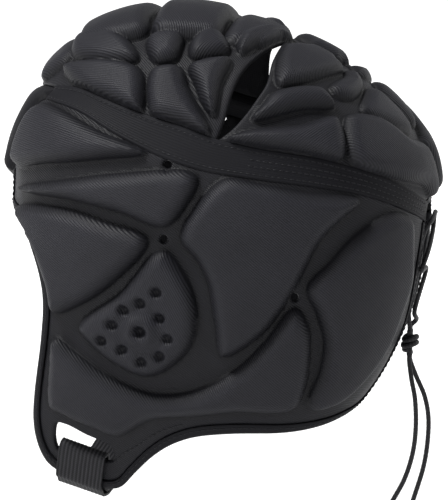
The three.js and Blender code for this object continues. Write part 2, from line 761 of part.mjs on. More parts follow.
function ventHole(corner) {
  const middle = drawn(corner);
  const size = VENT_RADIUS / chartScale(middle);
  return Array.from({ length: 8 }, (_, i) => {
    const angle = -i * Math.PI / 4;
    return [middle[0] + size * Math.cos(angle), middle[1] + size * Math.sin(angle)];
  });
}

// Line of the whole free edge on the left, from the midline of the brow to the laced gap
const boundLine = [...browLow.slice(0, -1), ...freeEdge];

// Side panels, from the brow round the ear to the laced gap
const sidePanel = panelSolid({
  outline: outlineOf([
    { line: brow },
    { line: boundLine, width: BOUND },
    { line: back(tapeLow) },
  ]),
  holes: [...VENT_HOLES.map(ventHole), turned(STRAP_SLOT.map(drawn)).reverse()],
  pads: padLoops(SIDE_PADS, SIDE_STEP),
  pits: EAR_PITS.map(drawn),
});
addPiece("side_panel_left", sidePanel, 0x2b2b2f, 0.9);
addPiece("side_panel_right", mirrored(sidePanel), 0x2b2b2f, 0.9);

// Crown panels, each across the midline, in front of the vents and behind them
addPiece("crown_front", panelSolid({
  outline: outlineOf([
    { line: browTop },
    { line: tapeHigh.slice(0, ventCorner + 1) },
    { line: ventFront },
    { line: topSeam },
  ]),
  pads: [...padLoops(CROWN_FRONT_PADS, CROWN_STEP), ...middlePads(CROWN_MIDDLE_PADS)],
  whole: true,
}), 0x2b2b2f, 0.9);

addPiece("crown_back", panelSolid({
  outline: outlineOf([
    { line: back(topSeam) },
    { line: back(ventBack) },
    { line: tapeHigh.slice(ventCorner) },
    { line: rearSeam },
  ]),
  pads: padLoops(CROWN_BACK_PADS, CROWN_STEP),
  whole: true,
}), 0x2b2b2f, 0.9);

// One smooth pad at the middle of the brow
const browOutline = outlineOf([
  { line: browTop },
  { line: [tapeHigh[0], tapeLow[0]], width: 2 * SEAM_GAP },
  { line: brow },
  { line: back(boundLine), width: BOUND },
]);
const browPadLeft = inset(browOutline, 1.4).filter((spot) => !onMidline(spot));
addPiece("brow_panel", panelSolid({
  outline: browOutline,
  pads: [{ rise: FOAM * 1.15, roll: ROLL, fade: BROW_FADE,
    loop: bothHalves(fromRim(browPadLeft), SIDE_STEP) }],
  whole: true,
}), 0x262629, 0.85);

// Flat tapes over the seams between crown and sides
const tape = loft(tapeLow.map((low, i) => {
  const high = tapeHigh[i];
  const margin = SEAM_GAP / Math.max(gap(low, high) * chartScale(low), 1);
  const [a, b] = [between(low, high, margin), between(high, low, margin)];
  return [place(...a, 0.2), place(...b, 0.2), place(...b, 0.2 + TAPE_THICK),
    place(...a, 0.2 + TAPE_THICK)];
}));
addPiece("crown_tape_left", tape, 0x1f1f22, 0.7);
addPiece("crown_tape_right", mirrored(tape), 0x1f1f22, 0.7);

// Binding round the whole free edge, from one side of the laced gap to the other
const boundSide = area([...boundLine, ...back(tapeLow), ...brow.slice(0, 2)]) > 0 ? 1 : -1;
const boundInner = shifted(boundLine, BINDING_WIDTH * boundSide);
const END_GAP = 0.12;
const boundLeft = boundLine.map((spot, i) => {
  const last = i === boundLine.length - 1;
  const outerSpot = last ? between(spot, boundLine.at(-2), END_GAP) : spot;
  const innerSpot = last ? between(boundInner[i], boundInner.at(-2), END_GAP) : boundInner[i];
  return [place(...innerSpot, 0.2), place(...innerSpot, BINDING_THICK),
    place(...outerSpot, BINDING_THICK - 0.7), place(...outerSpot, 0.2)];
});
const boundRight = boundLeft.slice(1).map((ring) =>
  ring.map((v) => new THREE.Vector3(v.x, -v.y, v.z)));
addPiece("edge_binding", loft([...boundLeft.slice().reverse(), ...boundRight]), 0x1b1b1e, 0.75);

// Ribbed webbing, one loop through both slots and under the chin
const slotSpot = drawn([82, 454.5]);
const edgeSpot = drawn([79, 485.5]);
const slotWay = place(...drawn([104, 463]), 0).sub(place(...drawn([62, 448]), 0)).normalize();
const strapDown = place(...edgeSpot, 0).sub(place(...slotSpot, 0)).normalize();
const strapEdge = place(...edgeSpot, 0);
const onTab = (share, height) => place(...between(slotSpot, edgeSpot, share), height);
const pastEdge = (inward, down) => strapEdge.clone()
  .addScaledVector(strapDown, down)
  .add(new THREE.Vector3(0, inward, 0));
const STRAP_LAYERS = STRAP_THICK + 0.4;
const underChin = (share, layer) => new THREE.Vector3(
  strapEdge.x + strapDown.x * 3,
  strapEdge.y * share,
  strapEdge.z - 5 - STRAP_SAG * (1 - share * share) - layer * STRAP_LAYERS);
const outerRun = [onTab(0.02, 3.7), onTab(0.2, 4.3), onTab(0.6, 4.7), onTab(0.93, 4.8),
  pastEdge(-3.4, 2.2), pastEdge(0.2, 5.6)];
const innerRun = [onTab(0.03, -1.7), onTab(0.25, -2.6), onTab(0.7, -2.7), pastEdge(3, 0.4),
  pastEdge(4.8, 3)];
const leftRun = [
  ...[0.25, 0.55, 0.8].map((share) => underChin(share, 0)),
  ...innerRun.slice().reverse(),
  onTab(-0.03, 1.4),
  ...outerRun,
  ...[0.8, 0.55, 0.25].map((share) => underChin(share, 1)),
];
const rightRun = leftRun.slice().reverse().map((v) => new THREE.Vector3(v.x, -v.y, v.z));
const strapPath = new THREE.CatmullRomCurve3([...leftRun, ...rightRun], true, "centripetal");
const STRAP_STEPS = 76;
const strapRings = Array.from({ length: STRAP_STEPS }, (_, i) => {
  const middle = strapPath.getPointAt(i / STRAP_STEPS);
  const along = strapPath.getTangentAt(i / STRAP_STEPS);
  const lean = Math.max(-1, Math.min(1, middle.y / strapEdge.y));
  const wide = new THREE.Vector3(slotWay.x, slotWay.y * lean, slotWay.z * Math.abs(lean))
    .normalize();
  const thick = wide.clone().cross(along).normalize().multiplyScalar(STRAP_THICK / 2);
  wide.multiplyScalar(STRAP_WIDTH / 2);
  return [[1, 1], [1, -1], [-1, -1], [-1, 1]].map(([a, b]) =>
    middle.clone().addScaledVector(wide, a).addScaledVector(thick, b));
});
addPiece("chin_strap", loft(strapRings, true), 0x242427, 0.8);

// Round cord along hand-set points
function cord(points, steps) {
  const circle = new THREE.Shape();
  circle.absarc(0, 0, LACE_DIAMETER / 2, 0, Math.PI * 2, false);
  const path = new THREE.CatmullRomCurve3(points, false, "centripetal");
  const geometry = new THREE.ExtrudeGeometry(circle, {
    steps, curveSegments: 4, bevelEnabled: false, extrudePath: path });
  const position = geometry.getAttribute("position");
  const spots = [];
  const keys = new Map();
  const index = [];
  for (let i = 0; i < position.count; i += 1) {
    const spot = new THREE.Vector3().fromBufferAttribute(position, i);
    const key = spot.toArray().map((value) => value.toFixed(4)).join(" ");
    if (!keys.has(key)) keys.set(key, spots.push(spot) - 1);
    index.push(keys.get(key));
  }
  const faces = [];
  for (let i = 0; i < index.length; i += 3) {
    const [a, b, c] = index.slice(i, i + 3);
    if (a !== b && b !== c && c !== a) faces.push([a, b, c]);
  }
  return outFacing({ points: spots, faces });
}

// Point at an angle about the ear, right of the midline, over the head
function overGap([angle, right, height]) {
  const spot = place(...beside(angle, Math.abs(right)), height);
  if (right > 0) spot.y = -spot.y;
  return spot;
}

const knotMiddle = overGap([KNOT_ANGLE, 0, KNOT_HEIGHT]);
const atKnotTop = (side, above) => knotMiddle.clone()
  .add(new THREE.Vector3(0, side * CORD_APART, KNOT_LENGTH / 2 + CORD_GAP + above));
const lacePoints = [atKnotTop(1, 0), atKnotTop(1, 1.5), ...LACE_ROUTE.map(overGap),
  atKnotTop(-1, 1.5), atKnotTop(-1, 0)];
addPiece("back_lace", cord(lacePoints, 76), 0x141416, 0.7);
addPiece("lace_end_1", cord(LACE_END_1.map((spot) => new THREE.Vector3(...spot)), 18),
  0x141416, 0.7);
addPiece("lace_end_2", cord(LACE_END_2.map((spot) => new THREE.Vector3(...spot)), 18),
  0x141416, 0.7);

const knotRings = KNOT_RINGS.map(([along, size]) =>
  Array.from({ length: 8 }, (_, i) => {
    const angle = i * Math.PI / 4;
    return knotMiddle.clone().add(new THREE.Vector3(
      Math.cos(angle) * size * 3.6,
      Math.sin(angle) * size * 5,
      along * KNOT_LENGTH / 2));
  }));
addPiece("lace_knot", loft(knotRings), 0x141416, 0.7);

export default group;
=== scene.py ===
import math

import bpy
import numpy as np
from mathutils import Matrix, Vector, geometry, kdtree, noise


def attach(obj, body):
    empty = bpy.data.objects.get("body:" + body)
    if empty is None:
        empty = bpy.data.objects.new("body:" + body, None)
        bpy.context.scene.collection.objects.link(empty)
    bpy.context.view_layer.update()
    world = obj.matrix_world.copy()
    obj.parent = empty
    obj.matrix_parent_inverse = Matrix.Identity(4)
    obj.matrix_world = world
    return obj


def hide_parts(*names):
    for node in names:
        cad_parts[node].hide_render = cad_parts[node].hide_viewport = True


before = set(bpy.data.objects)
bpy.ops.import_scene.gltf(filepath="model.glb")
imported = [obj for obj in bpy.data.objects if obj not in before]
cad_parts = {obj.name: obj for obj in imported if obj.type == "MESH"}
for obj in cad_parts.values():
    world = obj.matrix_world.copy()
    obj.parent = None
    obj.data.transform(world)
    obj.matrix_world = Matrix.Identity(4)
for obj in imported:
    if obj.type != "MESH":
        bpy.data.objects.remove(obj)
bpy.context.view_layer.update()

# The view: from behind the wearer's left ear, turned and raised ten degrees, 1.4 m away.
# A sheet of 448 by 500 squares hangs across the middle of the head, half a millimetre each.
CROWN_RISE = 82.5
SQUARE = 0.52
SHEET_MIDDLE = (224.5, 184)
EYE_DISTANCE = 1400
LOOK_LOWER = 34.3
SHEET_TURN = math.radians(10)
SHEET_TILT = math.radians(10)

ear_centre = np.array([0, 0, -CROWN_RISE])
to_eye = np.array([
    math.sin(SHEET_TURN) * math.cos(SHEET_TILT),
    -math.cos(SHEET_TURN) * math.cos(SHEET_TILT),
    math.sin(SHEET_TILT),
])
sheet_right = np.array([math.cos(SHEET_TURN), math.sin(SHEET_TURN), 0])
sheet_up = np.cross(to_eye, sheet_right)
eye = ear_centre + to_eye * EYE_DISTANCE
look_at = ear_centre - sheet_up * LOOK_LOWER

camera_data = bpy.data.cameras.new("camera")
camera = bpy.data.objects.new("camera", camera_data)
bpy.context.scene.collection.objects.link(camera)
camera.location = eye / 1000
camera.rotation_euler = Vector(look_at - eye).to_track_quat("-Z", "Y").to_euler()
camera_data.sensor_fit = "VERTICAL"
camera_data.sensor_height = 36
camera_data.lens = 36 * np.linalg.norm(look_at - eye) / (500 * SQUARE)
bpy.context.scene.camera = camera

# The studio: a plain pale floor under the hanging cap, wide enough to fill the view, three
# soft lamps with the strongest above and ahead of the cap, and pale air all round.
FLOOR_DROP = 0.37
bpy.ops.object.select_all(action="DESELECT")
bpy.ops.mesh.primitive_circle_add(vertices=96, radius=14, fill_type="NGON",
                                  location=(0, 0, -FLOOR_DROP))
floor = bpy.context.object
floor.name = "floor"
floor_paint = bpy.data.materials.new("floor_paint")
floor_paint.use_nodes = True
floor_shader = floor_paint.node_tree.nodes["Principled BSDF"]
floor_shader.inputs["Base Color"].default_value = (0.82, 0.82, 0.82, 1)
floor_shader.inputs["Roughness"].default_value = 0.9
floor_shader.inputs["Specular IOR Level"].default_value = 0
floor_shader.inputs["Emission Strength"].default_value = 0.95
floor.data.materials.append(floor_paint)

world = bpy.data.worlds.new("studio")
world.use_nodes = True
world.node_tree.nodes["Background"].inputs["Strength"].default_value = 1.0
bpy.context.scene.world = world
bpy.context.scene.view_settings.view_transform = "Standard"

for lamp_name, place_m, size, power in (
    ("lamp_top", (-0.7, -0.5, 1.42), 0.4, 42),
    ("lamp_front", (-0.6, -1.5, 0.45), 0.5, 6),
    ("lamp_back", (1.1, 0.7, 0.8), 0.8, 6),
):
    lamp_data = bpy.data.lights.new(lamp_name, "AREA")
    lamp_data.size = size
    lamp_data.energy = power
    lamp = bpy.data.objects.new(lamp_name, lamp_data)
    bpy.context.scene.collection.objects.link(lamp)
    lamp.location = place_m
    aim = Vector((0, 0, -0.1)) - lamp.location
    lamp.rotation_euler = aim.to_track_quat("-Z", "Y").to_euler()


class Thread:
    """A value that runs through a material; sums on it add Math nodes."""

    def __init__(self, tree, socket=None):
        self.tree = tree
        self.socket = socket

    def node(self, kind, settings=(), sockets=(), out=0):
        made = self.tree.nodes.new("ShaderNode" + kind)
        for name, value in dict(settings).items():
            if name == "stops":
                for stop, (where, color) in zip(made.color_ramp.elements, value):
                    stop.position = where
                    stop.color = color
            else:
                setattr(made, name, value)
        for name, value in dict(sockets).items():
            if isinstance(value, Thread):
                self.tree.links.new(value.socket, made.inputs[name])
            else:
                made.inputs[name].default_value = value
        return Thread(self.tree, made.outputs[out])

    def math(self, operation, first, second=0.0):
        return self.node("Math", {"operation": operation}, {0: first, 1: second})

    def clamp(self):
        return self.node("Clamp", {}, {"Value": self})

    def __add__(self, other):
        return self.math("ADD", self, other)

    def __sub__(self, other):
        return self.math("SUBTRACT", self, other)

    def __rsub__(self, other):
        return self.math("SUBTRACT", other, self)

    def __mul__(self, other):
        return self.math("MULTIPLY", self, other)

    __radd__ = __add__
    __rmul__ = __mul__


# The floor glows a little further out, so that it stays pale where the lamps don't reach.
# The studio's wall is as pale just above it and dims towards its ceiling.
floor_start = Thread(floor_paint.node_tree)
floor_way = floor_start.node("TexCoord", out=3)
floor_run = floor_start.node("VectorMath", {"operation": "LENGTH"}, {0: floor_way}, out=1)
floor_far = floor_start.node("MapRange", {}, {"Value": floor_run, "From Min": 0.2, "From Max": 1.1})
floor_glow = floor_start.node("Mix", {"data_type": "RGBA"},
                              {"Factor": floor_far, 6: (0, 0, 0, 1), 7: (1, 1, 1, 1)}, out=2)
floor_paint.node_tree.links.new(floor_glow.socket, floor_shader.inputs["Emission Color"])
sky_start = Thread(world.node_tree)
sky_way = sky_start.node("TexCoord", out=0)
sky_up = sky_start.node("SeparateXYZ", {}, {"Vector": sky_way}, out=2)
sky_high = sky_start.node("MapRange", {}, {"Value": sky_up, "From Min": 0.08, "From Max": 0.3})
sky_tone = sky_start.node("Mix", {"data_type": "RGBA"},
                          {"Factor": sky_high, 6: (1, 1, 1, 1), 7: (0.26, 0.26, 0.26, 1)}, out=2)
world.node_tree.links.new(sky_tone.socket, world.node_tree.nodes["Background"].inputs["Color"])


def finish_material(name, build):
    material = bpy.data.materials.new(name)
    material.use_nodes = True
    tree = material.node_tree
    shader = tree.nodes["Principled BSDF"]
    start = Thread(tree)
    for socket, value in build(start).items():
        if isinstance(value, Thread):
            tree.links.new(value.socket, shader.inputs[socket])
        else:
            shader.inputs[socket].default_value = value
    return material


def grain(start, scale, detail=3):
    where = start.node("TexCoord", out=3)
    return start.node("TexNoise", {}, {"Vector": where, "Scale": scale, "Detail": detail})


def blend_colors(start, share, dark, light):
    return start.node("Mix", {"data_type": "RGBA"},
                      {"Factor": share, 6: (*dark, 1), 7: (*light, 1)}, out=2)


# Free ends of the back lace: two round braided cords, 2.5 mm thick, near black.
# Both leave the knot at the nape and hang to just below the photograph's edge,
# where each ends in a short sealed tip. The route is the one in the part's source.
LACE_RADIUS = 1.25
LACE_END_1 = [(98, -1.7, -169.65), (98, -1.72, -172), (99.4, -3, -181.5),
              (101.5, -4, -192), (102.2, -4.4, -207), (100.8, -4.6, -221),
              (96.8, -4.6, -235), (91.4, -4.4, -246), (88.2, -4.2, -252)]
LACE_END_2 = [(98, 1.7, -169.65), (98, 1.72, -172), (101.2, 3.2, -181.5),
              (105.6, 4, -192), (107.8, 4.2, -203), (107.6, 4.4, -217),
              (105.6, 4.6, -231), (101.4, 4.8, -246), (99.6, 4.8, -252)]


def smooth_line(corners, closed=False, fine=24):
    """Smooth line through all corners, as a long row of close points."""
    spots = np.array(corners, float)
    if closed:
        around = np.vstack([spots[-1], spots, spots[0], spots[1]])
    else:
        around = np.vstack([2 * spots[0] - spots[1], spots, 2 * spots[-1] - spots[-2]])
    steps = np.arange(fine)[:, None] / fine
    line = []
    for before, start, end, after in zip(around, around[1:], around[2:], around[3:]):
        gaps = [max(np.linalg.norm(b - a), 1e-9) ** 0.5
                for a, b in ((before, start), (start, end), (end, after))]
        leave = ((start - before) / gaps[0] - (end - before) / (gaps[0] + gaps[1])
                 + (end - start) / gaps[1]) * gaps[1]
        arrive = ((end - start) / gaps[1] - (after - start) / (gaps[1] + gaps[2])
                  + (after - end) / gaps[2]) * gaps[1]
        line.append(start + leave * steps
                    + (3 * (end - start) - 2 * leave - arrive) * steps ** 2
                    + (2 * (start - end) + leave + arrive) * steps ** 3)
    if not closed:
        line.append(spots[-1:])
    return np.vstack(line)


def spread(line, pieces, closed=False):
    """The same line with even steps between its points."""
    full = np.vstack([line, line[:1]]) if closed else line
    run = np.concatenate([[0], np.cumsum(np.linalg.norm(np.diff(full, axis=0), axis=1))])
    wanted = np.linspace(0, run[-1], pieces + 1)
    even = np.column_stack([np.interp(wanted, run, full[:, k]) for k in range(full.shape[1])])
    return even[:-1] if closed else even


def new_piece(name, points, faces, uv=None, materials=(), slot=None, replaced=(), part_of=None,
              painted_shading=None):
    """A closed mesh object in metres, riding on the cap, with its weave laid on it."""
    mesh = bpy.data.meshes.new(name)
    mesh.from_pydata((np.asarray(points) / 1000).tolist(), [], faces)
    if uv is not None:
        layer = mesh.uv_layers.new(name="weave")
        corners = np.empty(len(mesh.loops), int)
        mesh.loops.foreach_get("vertex_index", corners)
        flat = uv[corners] if len(uv) == len(points) else uv
        layer.data.foreach_set("uv", np.asarray(flat, float).ravel())
    # Painted shading is stored as a point attribute that the cloth colour reads.
    if painted_shading is not None:
        mesh.attributes.new("painted_shading", "FLOAT", "POINT").data.foreach_set("value", painted_shading)
    for material in materials:
        mesh.materials.append(material)
    if part_of is not None:
        mesh.polygons.foreach_set("material_index", np.asarray(part_of, int))
    mesh.polygons.foreach_set("use_smooth", np.ones(len(mesh.polygons), bool))
    mesh.update()
    piece = bpy.data.objects.new(name, mesh)
    bpy.context.scene.collection.objects.link(piece)
    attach(piece, "root")
    if replaced:
        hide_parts(*replaced)
    return piece


def lace_material(start):
    uv = start.node("UVMap", {"uv_map": "weave"})
    around = start.node("SeparateXYZ", {}, {"Vector": uv}, out=0)
    along = start.node("SeparateXYZ", {}, {"Vector": uv}, out=1)
    left = start.math("SINE", (around * 8 + along) * math.tau)
    right = start.math("SINE", (around * 8 - along) * math.tau)
    strand = (left * right + 1.0) * 0.5
    fleck = grain(start, 900)
    height = strand * 0.7 + fleck * 0.3
    bump = start.node("Bump", {}, {"Strength": 0.8, "Distance": 0.0002, "Height": height})
    return {
        "Base Color": blend_colors(start, strand, (0.004, 0.004, 0.005), (0.020, 0.020, 0.023)),
        "Roughness": 0.55,
        "Specular IOR Level": 0.2,
        "Sheen Weight": 0.02,
        "Sheen Roughness": 0.4,
        "Normal": bump,
    }


lace_finish = finish_material("braided_lace", lace_material)


def braided(path, radius=LACE_RADIUS, sides=20, tip=0.0):
    """Braided tube along a path: points, faces and the braid's own map."""
    path = np.asarray(path, float)
    way = np.gradient(path, axis=0)
    way /= np.linalg.norm(way, axis=1)[:, None]
    side = np.cross(way[0], (0.3, 1, 0.2))
    points = []
    uv = []
    run = 0.0
    for i, (spot, ahead) in enumerate(zip(path, way)):
        side = side - ahead * side.dot(ahead)
        side /= np.linalg.norm(side)
        other = np.cross(ahead, side)
        run += np.linalg.norm(path[i] - path[i - 1]) if i else 0
        angle = np.arange(sides + 1) / sides * math.tau
        pitch = run / 5.2
        strands = np.sin(angle * 4 + pitch * math.tau) * np.sin(angle * 4 - pitch * math.tau)
        size = radius * (0.965 + 0.035 * strands)
        ring = spot + np.outer(np.cos(angle) * size, side) + np.outer(np.sin(angle) * size, other)
        points.append(ring[:-1])
        uv.append(np.column_stack([angle / math.tau, np.full(sides + 1, pitch * 2)]))
    count = len(path)
    faces = []
    corners = []
    for i in range(count - 1):
        for k in range(sides):
            n = (k + 1) % sides
            faces.append((i * sides + k, i * sides + n, (i + 1) * sides + n, (i + 1) * sides + k))
            corners += [uv[i][k], uv[i][k + 1], uv[i + 1][k + 1], uv[i + 1][k]]
    points = np.vstack(points)
    for ring, end in ((0, -1), (count - 1, 1)):
        middle = len(points)
        points = np.vstack([points, path[ring] + way[ring] * end * 0.12])
        for k in range(sides):
            n = (k + 1) % sides
            trio = (ring * sides + n, ring * sides + k, middle)
            faces.append(trio if end < 0 else (trio[1], trio[0], middle))
            corners += [uv[ring][k]] * 3
    return points, faces, np.array(corners)


def line_length(line):
    return float(np.linalg.norm(np.diff(line, axis=0), axis=1).sum())


for end_name, corners in (("lace_end_1", LACE_END_1), ("lace_end_2", LACE_END_2)):
    route = smooth_line(corners)
    length = line_length(route)
    route = spread(route, round(length / 0.45))
    points, faces, uv = braided(route)
    lace_end = new_piece(end_name + "_cord", points, faces, uv, [lace_finish], "lace", [end_name])
    [v / 1000 for v in corners[0]]

# Side panels: ribbed stretch cloth over foam pads, from the brow round the ear to the laced
# back. The border is 2.6 mm thick and the pads stand 7 mm above it. Each is made flat on a
# chart of the head, p to the back and q up, rim on the midline, then laid on the head.
FRONT_LENGTH = 106
BACK_LENGTH = 105
HALF_WIDTH = 80
CROWN_LEAN = 0.22
NAPE_DROP = 150
NAPE_ROUND = 2
JAW_DROP = 200
JAW_REACH = 45
JAW_LEVEL = 120
PLAN_ROUND = 2.3
CHART = 100
HALF_SHARE = 0.985

BORDER = 2.6
FOAM = 7
ROLL = 7
PAD_GROWTH = 0.8
SEAM_GAP = 0.05
BINDING_WIDTH = 4.4
VENT_RADIUS = 2
PIT_RADIUS = 3.5
PIT_DEPTH = 3.3
BOSS_RING = 5.4
EDGE_STEP = 8.5


def taper(share, bend):
    return np.maximum(1 - np.minimum(share, 1) ** bend, 1e-6) ** (1 / bend)


def fullness(spots, height):
    """Below one inside the head shape grown by a height, above one outside."""
    x, y, z = np.moveaxis(np.asarray(spots), -1, 0)
    drop = np.maximum(-z, 0)
    rise = np.maximum(z, 0) * (1 + CROWN_LEAN * x / FRONT_LENGTH)
    wall = taper(drop / JAW_DROP, PLAN_ROUND)
    nape = taper(drop / NAPE_DROP, NAPE_ROUND)
    jaw = JAW_REACH * (drop / JAW_LEVEL) ** 1.5
    length = np.where(x < 0, FRONT_LENGTH * wall + jaw, BACK_LENGTH * nape)
    across_share = np.abs(x) / (length + height)
    aside = np.abs(y) / (HALF_WIDTH * wall + height)
    ring = across_share ** PLAN_ROUND + aside ** PLAN_ROUND
    return ring ** (2 / PLAN_ROUND) + (rise / (CROWN_RISE + height)) ** 2


def reach(ways):
    near = np.full(len(ways), 10.0)
    far = np.full(len(ways), 300.0)
    for _ in range(26):
        middle = (near + far) / 2
        low = fullness(ways * middle[:, None], 0) < 1
        near = np.where(low, middle, near)
        far = np.where(low, far, middle)
    return ways * near[:, None]


def lay(chart_spots, heights):
    """Points over the head for spots of the chart and heights in millimetres."""
    spots = np.atleast_2d(chart_spots).astype(float)
    p, q = spots.T
    share = (p * p + q * q) / CHART ** 2
    ways = np.column_stack([2 * p / CHART, share - 1, 2 * q / CHART])
    ways /= np.linalg.norm(ways, axis=1)[:, None]
    found = reach(ways)
    slopes = []
    for axis in range(3):
        step = np.zeros(3)
        step[axis] = 0.5
        slopes.append(fullness(found + step, 0) - fullness(found - step, 0))
    normals = np.column_stack(slopes)
    on_rim = np.abs(share - 1) < 1e-6
    normals[on_rim, 1] = 0
    found[on_rim, 1] = 0
    normals /= np.linalg.norm(normals, axis=1)[:, None]
    return found + normals * np.reshape(heights, (-1, 1)) + ear_centre, normals


def chart_scale(chart_spots):
    """Millimetres on the head for one unit of the chart."""
    spots = np.atleast_2d(chart_spots)
    total = 0
    for step in ((1, 0), (0, 1)):
        ahead, _ = lay(spots + step, np.zeros(len(spots)))
        behind, _ = lay(spots - step, np.zeros(len(spots)))
        total = total + np.linalg.norm(ahead - behind, axis=1)
    return total / 4


def drawn(corner):
    """Chart spot under a square of the sheet."""
    square, down = corner
    sheet_eye = to_eye * EYE_DISTANCE
    target = (sheet_right * (square - SHEET_MIDDLE[0]) + sheet_up * (SHEET_MIDDLE[1] - down)) * SQUARE
    aim = target - sheet_eye
    aim /= np.linalg.norm(aim)
    paces = np.arange(EYE_DISTANCE - 150, EYE_DISTANCE + 61.0)
    levels = fullness(sheet_eye + np.outer(paces, aim), BORDER)
    inside_head = np.flatnonzero(levels < 1)
    if len(inside_head):
        near, far = paces[inside_head[0]] - 1, paces[inside_head[0]]
        for _ in range(14):
            middle = (near + far) / 2
            if fullness(sheet_eye + aim * middle, BORDER) > 1:
                near = middle
            else:
                far = middle
    else:
        near = paces[np.argmin(levels)]
    spot = sheet_eye + aim * near
    spot /= np.linalg.norm(spot)
    found = np.array([spot[0], spot[2]]) * CHART / (1 - spot[1])
    beyond = np.hypot(*found) / (CHART * HALF_SHARE)
    return found / beyond if beyond > 1 else found


def polar(degrees, share=1):
    angle = math.radians(degrees)
    return np.array([math.cos(angle), math.sin(angle)]) * CHART * share


def beside(degrees, wide):
    """Chart spot at an angle about the ear, some millimetres left of the midline."""
    angle = math.radians(degrees)
    way = np.array([[math.cos(angle), 0, math.sin(angle)]])
    radius = np.linalg.norm(reach(way))
    return polar(degrees, math.tan(math.pi / 4 - wide / radius / 2))


def across(spots):
    """The same spots on the right half, outside the rim of the chart."""
    spots = np.asarray(spots)
    return spots * CHART ** 2 / (spots ** 2).sum(axis=-1, keepdims=True)


def rim_angle(spot):
    angle = math.degrees(math.atan2(spot[1], spot[0]))
    return angle + 360 if angle < -120 else angle


def on_midline(spot):
    return abs(math.hypot(*spot) - CHART) < 1e-6


def area(loop):
    p, q = np.asarray(loop).T
    return (p * np.roll(q, -1) - q * np.roll(p, -1)).sum() / 2


def turned(loop):
    return loop[::-1] if area(loop) < 0 else loop


def inside(spots, loop):
    """Which spots lie inside a loop of the chart."""
    odd = np.zeros(len(spots), bool)
    p, q = spots.T
    for (a, b), (c, d) in zip(loop, np.roll(loop, 1, axis=0)):
        if b == d:
            continue
        odd ^= ((b > q) != (d > q)) & (p < (c - a) * (q - b) / (d - b) + a)
    return odd


def line_distance(spots, line, closed=True):
    """Distance from each point to a line of points, in their own units."""
    starts = np.asarray(line)
    ends = np.roll(starts, -1, axis=0)
    if not closed:
        starts, ends = starts[:-1], ends[:-1]
    best = np.full(len(spots), np.inf)
    for start, end in zip(starts, ends):
        run = end - start
        share = np.clip((spots - start) @ run / max(run @ run, 1e-12), 0, 1)
        best = np.minimum(best, np.linalg.norm(spots - start - share[:, None] * run, axis=1))
    return best


def even_line(corners, step=EDGE_STEP):
    line = smooth_line(corners)
    rough = spread(line, 60)
    size = (np.linalg.norm(np.diff(rough, axis=0), axis=1)
            * chart_scale((rough[1:] + rough[:-1]) / 2)).sum()
    return spread(line, max(2, round(size / step)))


def shifted(line, width):
    """An open line moved to its left by a width in millimetres."""
    ways = np.diff(line, axis=0)
    ways /= np.linalg.norm(ways, axis=1)[:, None]
    normals = np.column_stack([-ways[:, 1], ways[:, 0]])
    scales = chart_scale(line)
    moved = []
    for i, spot in enumerate(line):
        first = normals[max(i - 1, 0)]
        second = normals[min(i, len(normals) - 1)]
        shift = width / scales[i] / max(1 + first @ second, 0.6)
        target = spot + (first + second) * shift
        moved.append(polar(rim_angle(target)) if on_midline(spot) else target)
    return np.array(moved)


def joined(first, second):
    """Two lines cut where the first runs into the second."""
    for i in range(len(first) - 1, 0, -1):
        for j in range(1, len(second)):
            a, b, c, d = first[i - 1], first[i], second[j - 1], second[j]
            run, way = b - a, d - c
            turn = run[0] * way[1] - run[1] * way[0]
            if abs(turn) < 1e-12:
                continue
            s = ((c[0] - a[0]) * way[1] - (c[1] - a[1]) * way[0]) / turn
            t = ((c[0] - a[0]) * run[1] - (c[1] - a[1]) * run[0]) / turn
            if -1e-9 <= s <= 1 + 1e-9 and -1e-9 <= t <= 1 + 1e-9:
                meeting = a + run * s
                return np.vstack([first[:i], meeting]), np.vstack([meeting, second[j:]])
    return first, second


def rim_line(start, end, step):
    pieces = max(2, round(abs(end - start) / step))
    return [polar(start + (end - start) * (i + 1) / pieces) for i in range(pieces - 1)]


FINE_STEP = 1.1


def outline_of(lines):
    """Edge of a panel from lines laid end to end, each moved in by its own width,
    as a fine loop, with the points that lie along the midline set exactly on the rim."""
    side = 1 if area(np.vstack([line for line, _ in lines])) > 0 else -1
    moved = [shifted(line, width * side) for line, width in lines]
    is_open = on_midline(lines[0][0][0])
    for i in range(len(moved)):
        following = (i + 1) % len(moved)
        if not (is_open and following == 0):
            moved[i], moved[following] = joined(moved[i], moved[following])
    loop = []
    for line in moved:
        fine = smooth_line(line)
        size = np.linalg.norm(np.diff(lay(fine, np.zeros(len(fine)))[0], axis=0), axis=1).sum()
        loop.extend(spread(fine, max(2, round(size / FINE_STEP)))[:-1])
    if is_open:
        loop.append(moved[-1][-1])
        loop.extend(rim_line(rim_angle(loop[-1]), rim_angle(loop[0]), 0.8))
    loop = np.array(loop)
    rim = np.abs(np.hypot(*loop.T) - CHART) < 1e-6
    loop[rim] = [polar(rim_angle(spot)) for spot in loop[rim]] if rim.any() else loop[rim]
    keep = np.linalg.norm(loop - np.roll(loop, -1, axis=0), axis=1) > 0.08
    return turned(loop[keep])


# Seam lines that the pieces share, drawn on the sheet as across and down
SEAM_LINES = {
    "tape_low": [(47, 97), (80, 110), (110, 129), (150, 150), (200, 168), (260, 178),
                 (320, 186), (370, 195), (418, 214)],
    "tape_front": [(55, 87), (80, 90), (110, 103), (150, 118), (178, 127)],
    "tape_back": [(260, 151), (320, 161), (380, 178), (428, 202)],
    "brow": [(47, 97), (36, 105), (29, 120), (22, 135), (17, 155), (15, 182)],
    "vent_front": [(217, 141), (226, 118), (233, 92), (244, 70), (262, 53), (284, 42)],
    "vent_back": [(217, 141), (237, 125), (256, 101), (268, 82), (273, 62), (284, 42)],
}
FACE_EDGE = [(15, 182), (14, 202), (21, 222), (30, 250), (38, 280), (41, 305), (38, 350),
             (33, 390), (31, 420), (34, 443), (44, 465), (56, 475), (80, 485), (102, 493),
             (113, 494), (124, 489), (142, 470), (169, 451), (205, 441), (250, 438), (301, 433),
             (337, 420)]
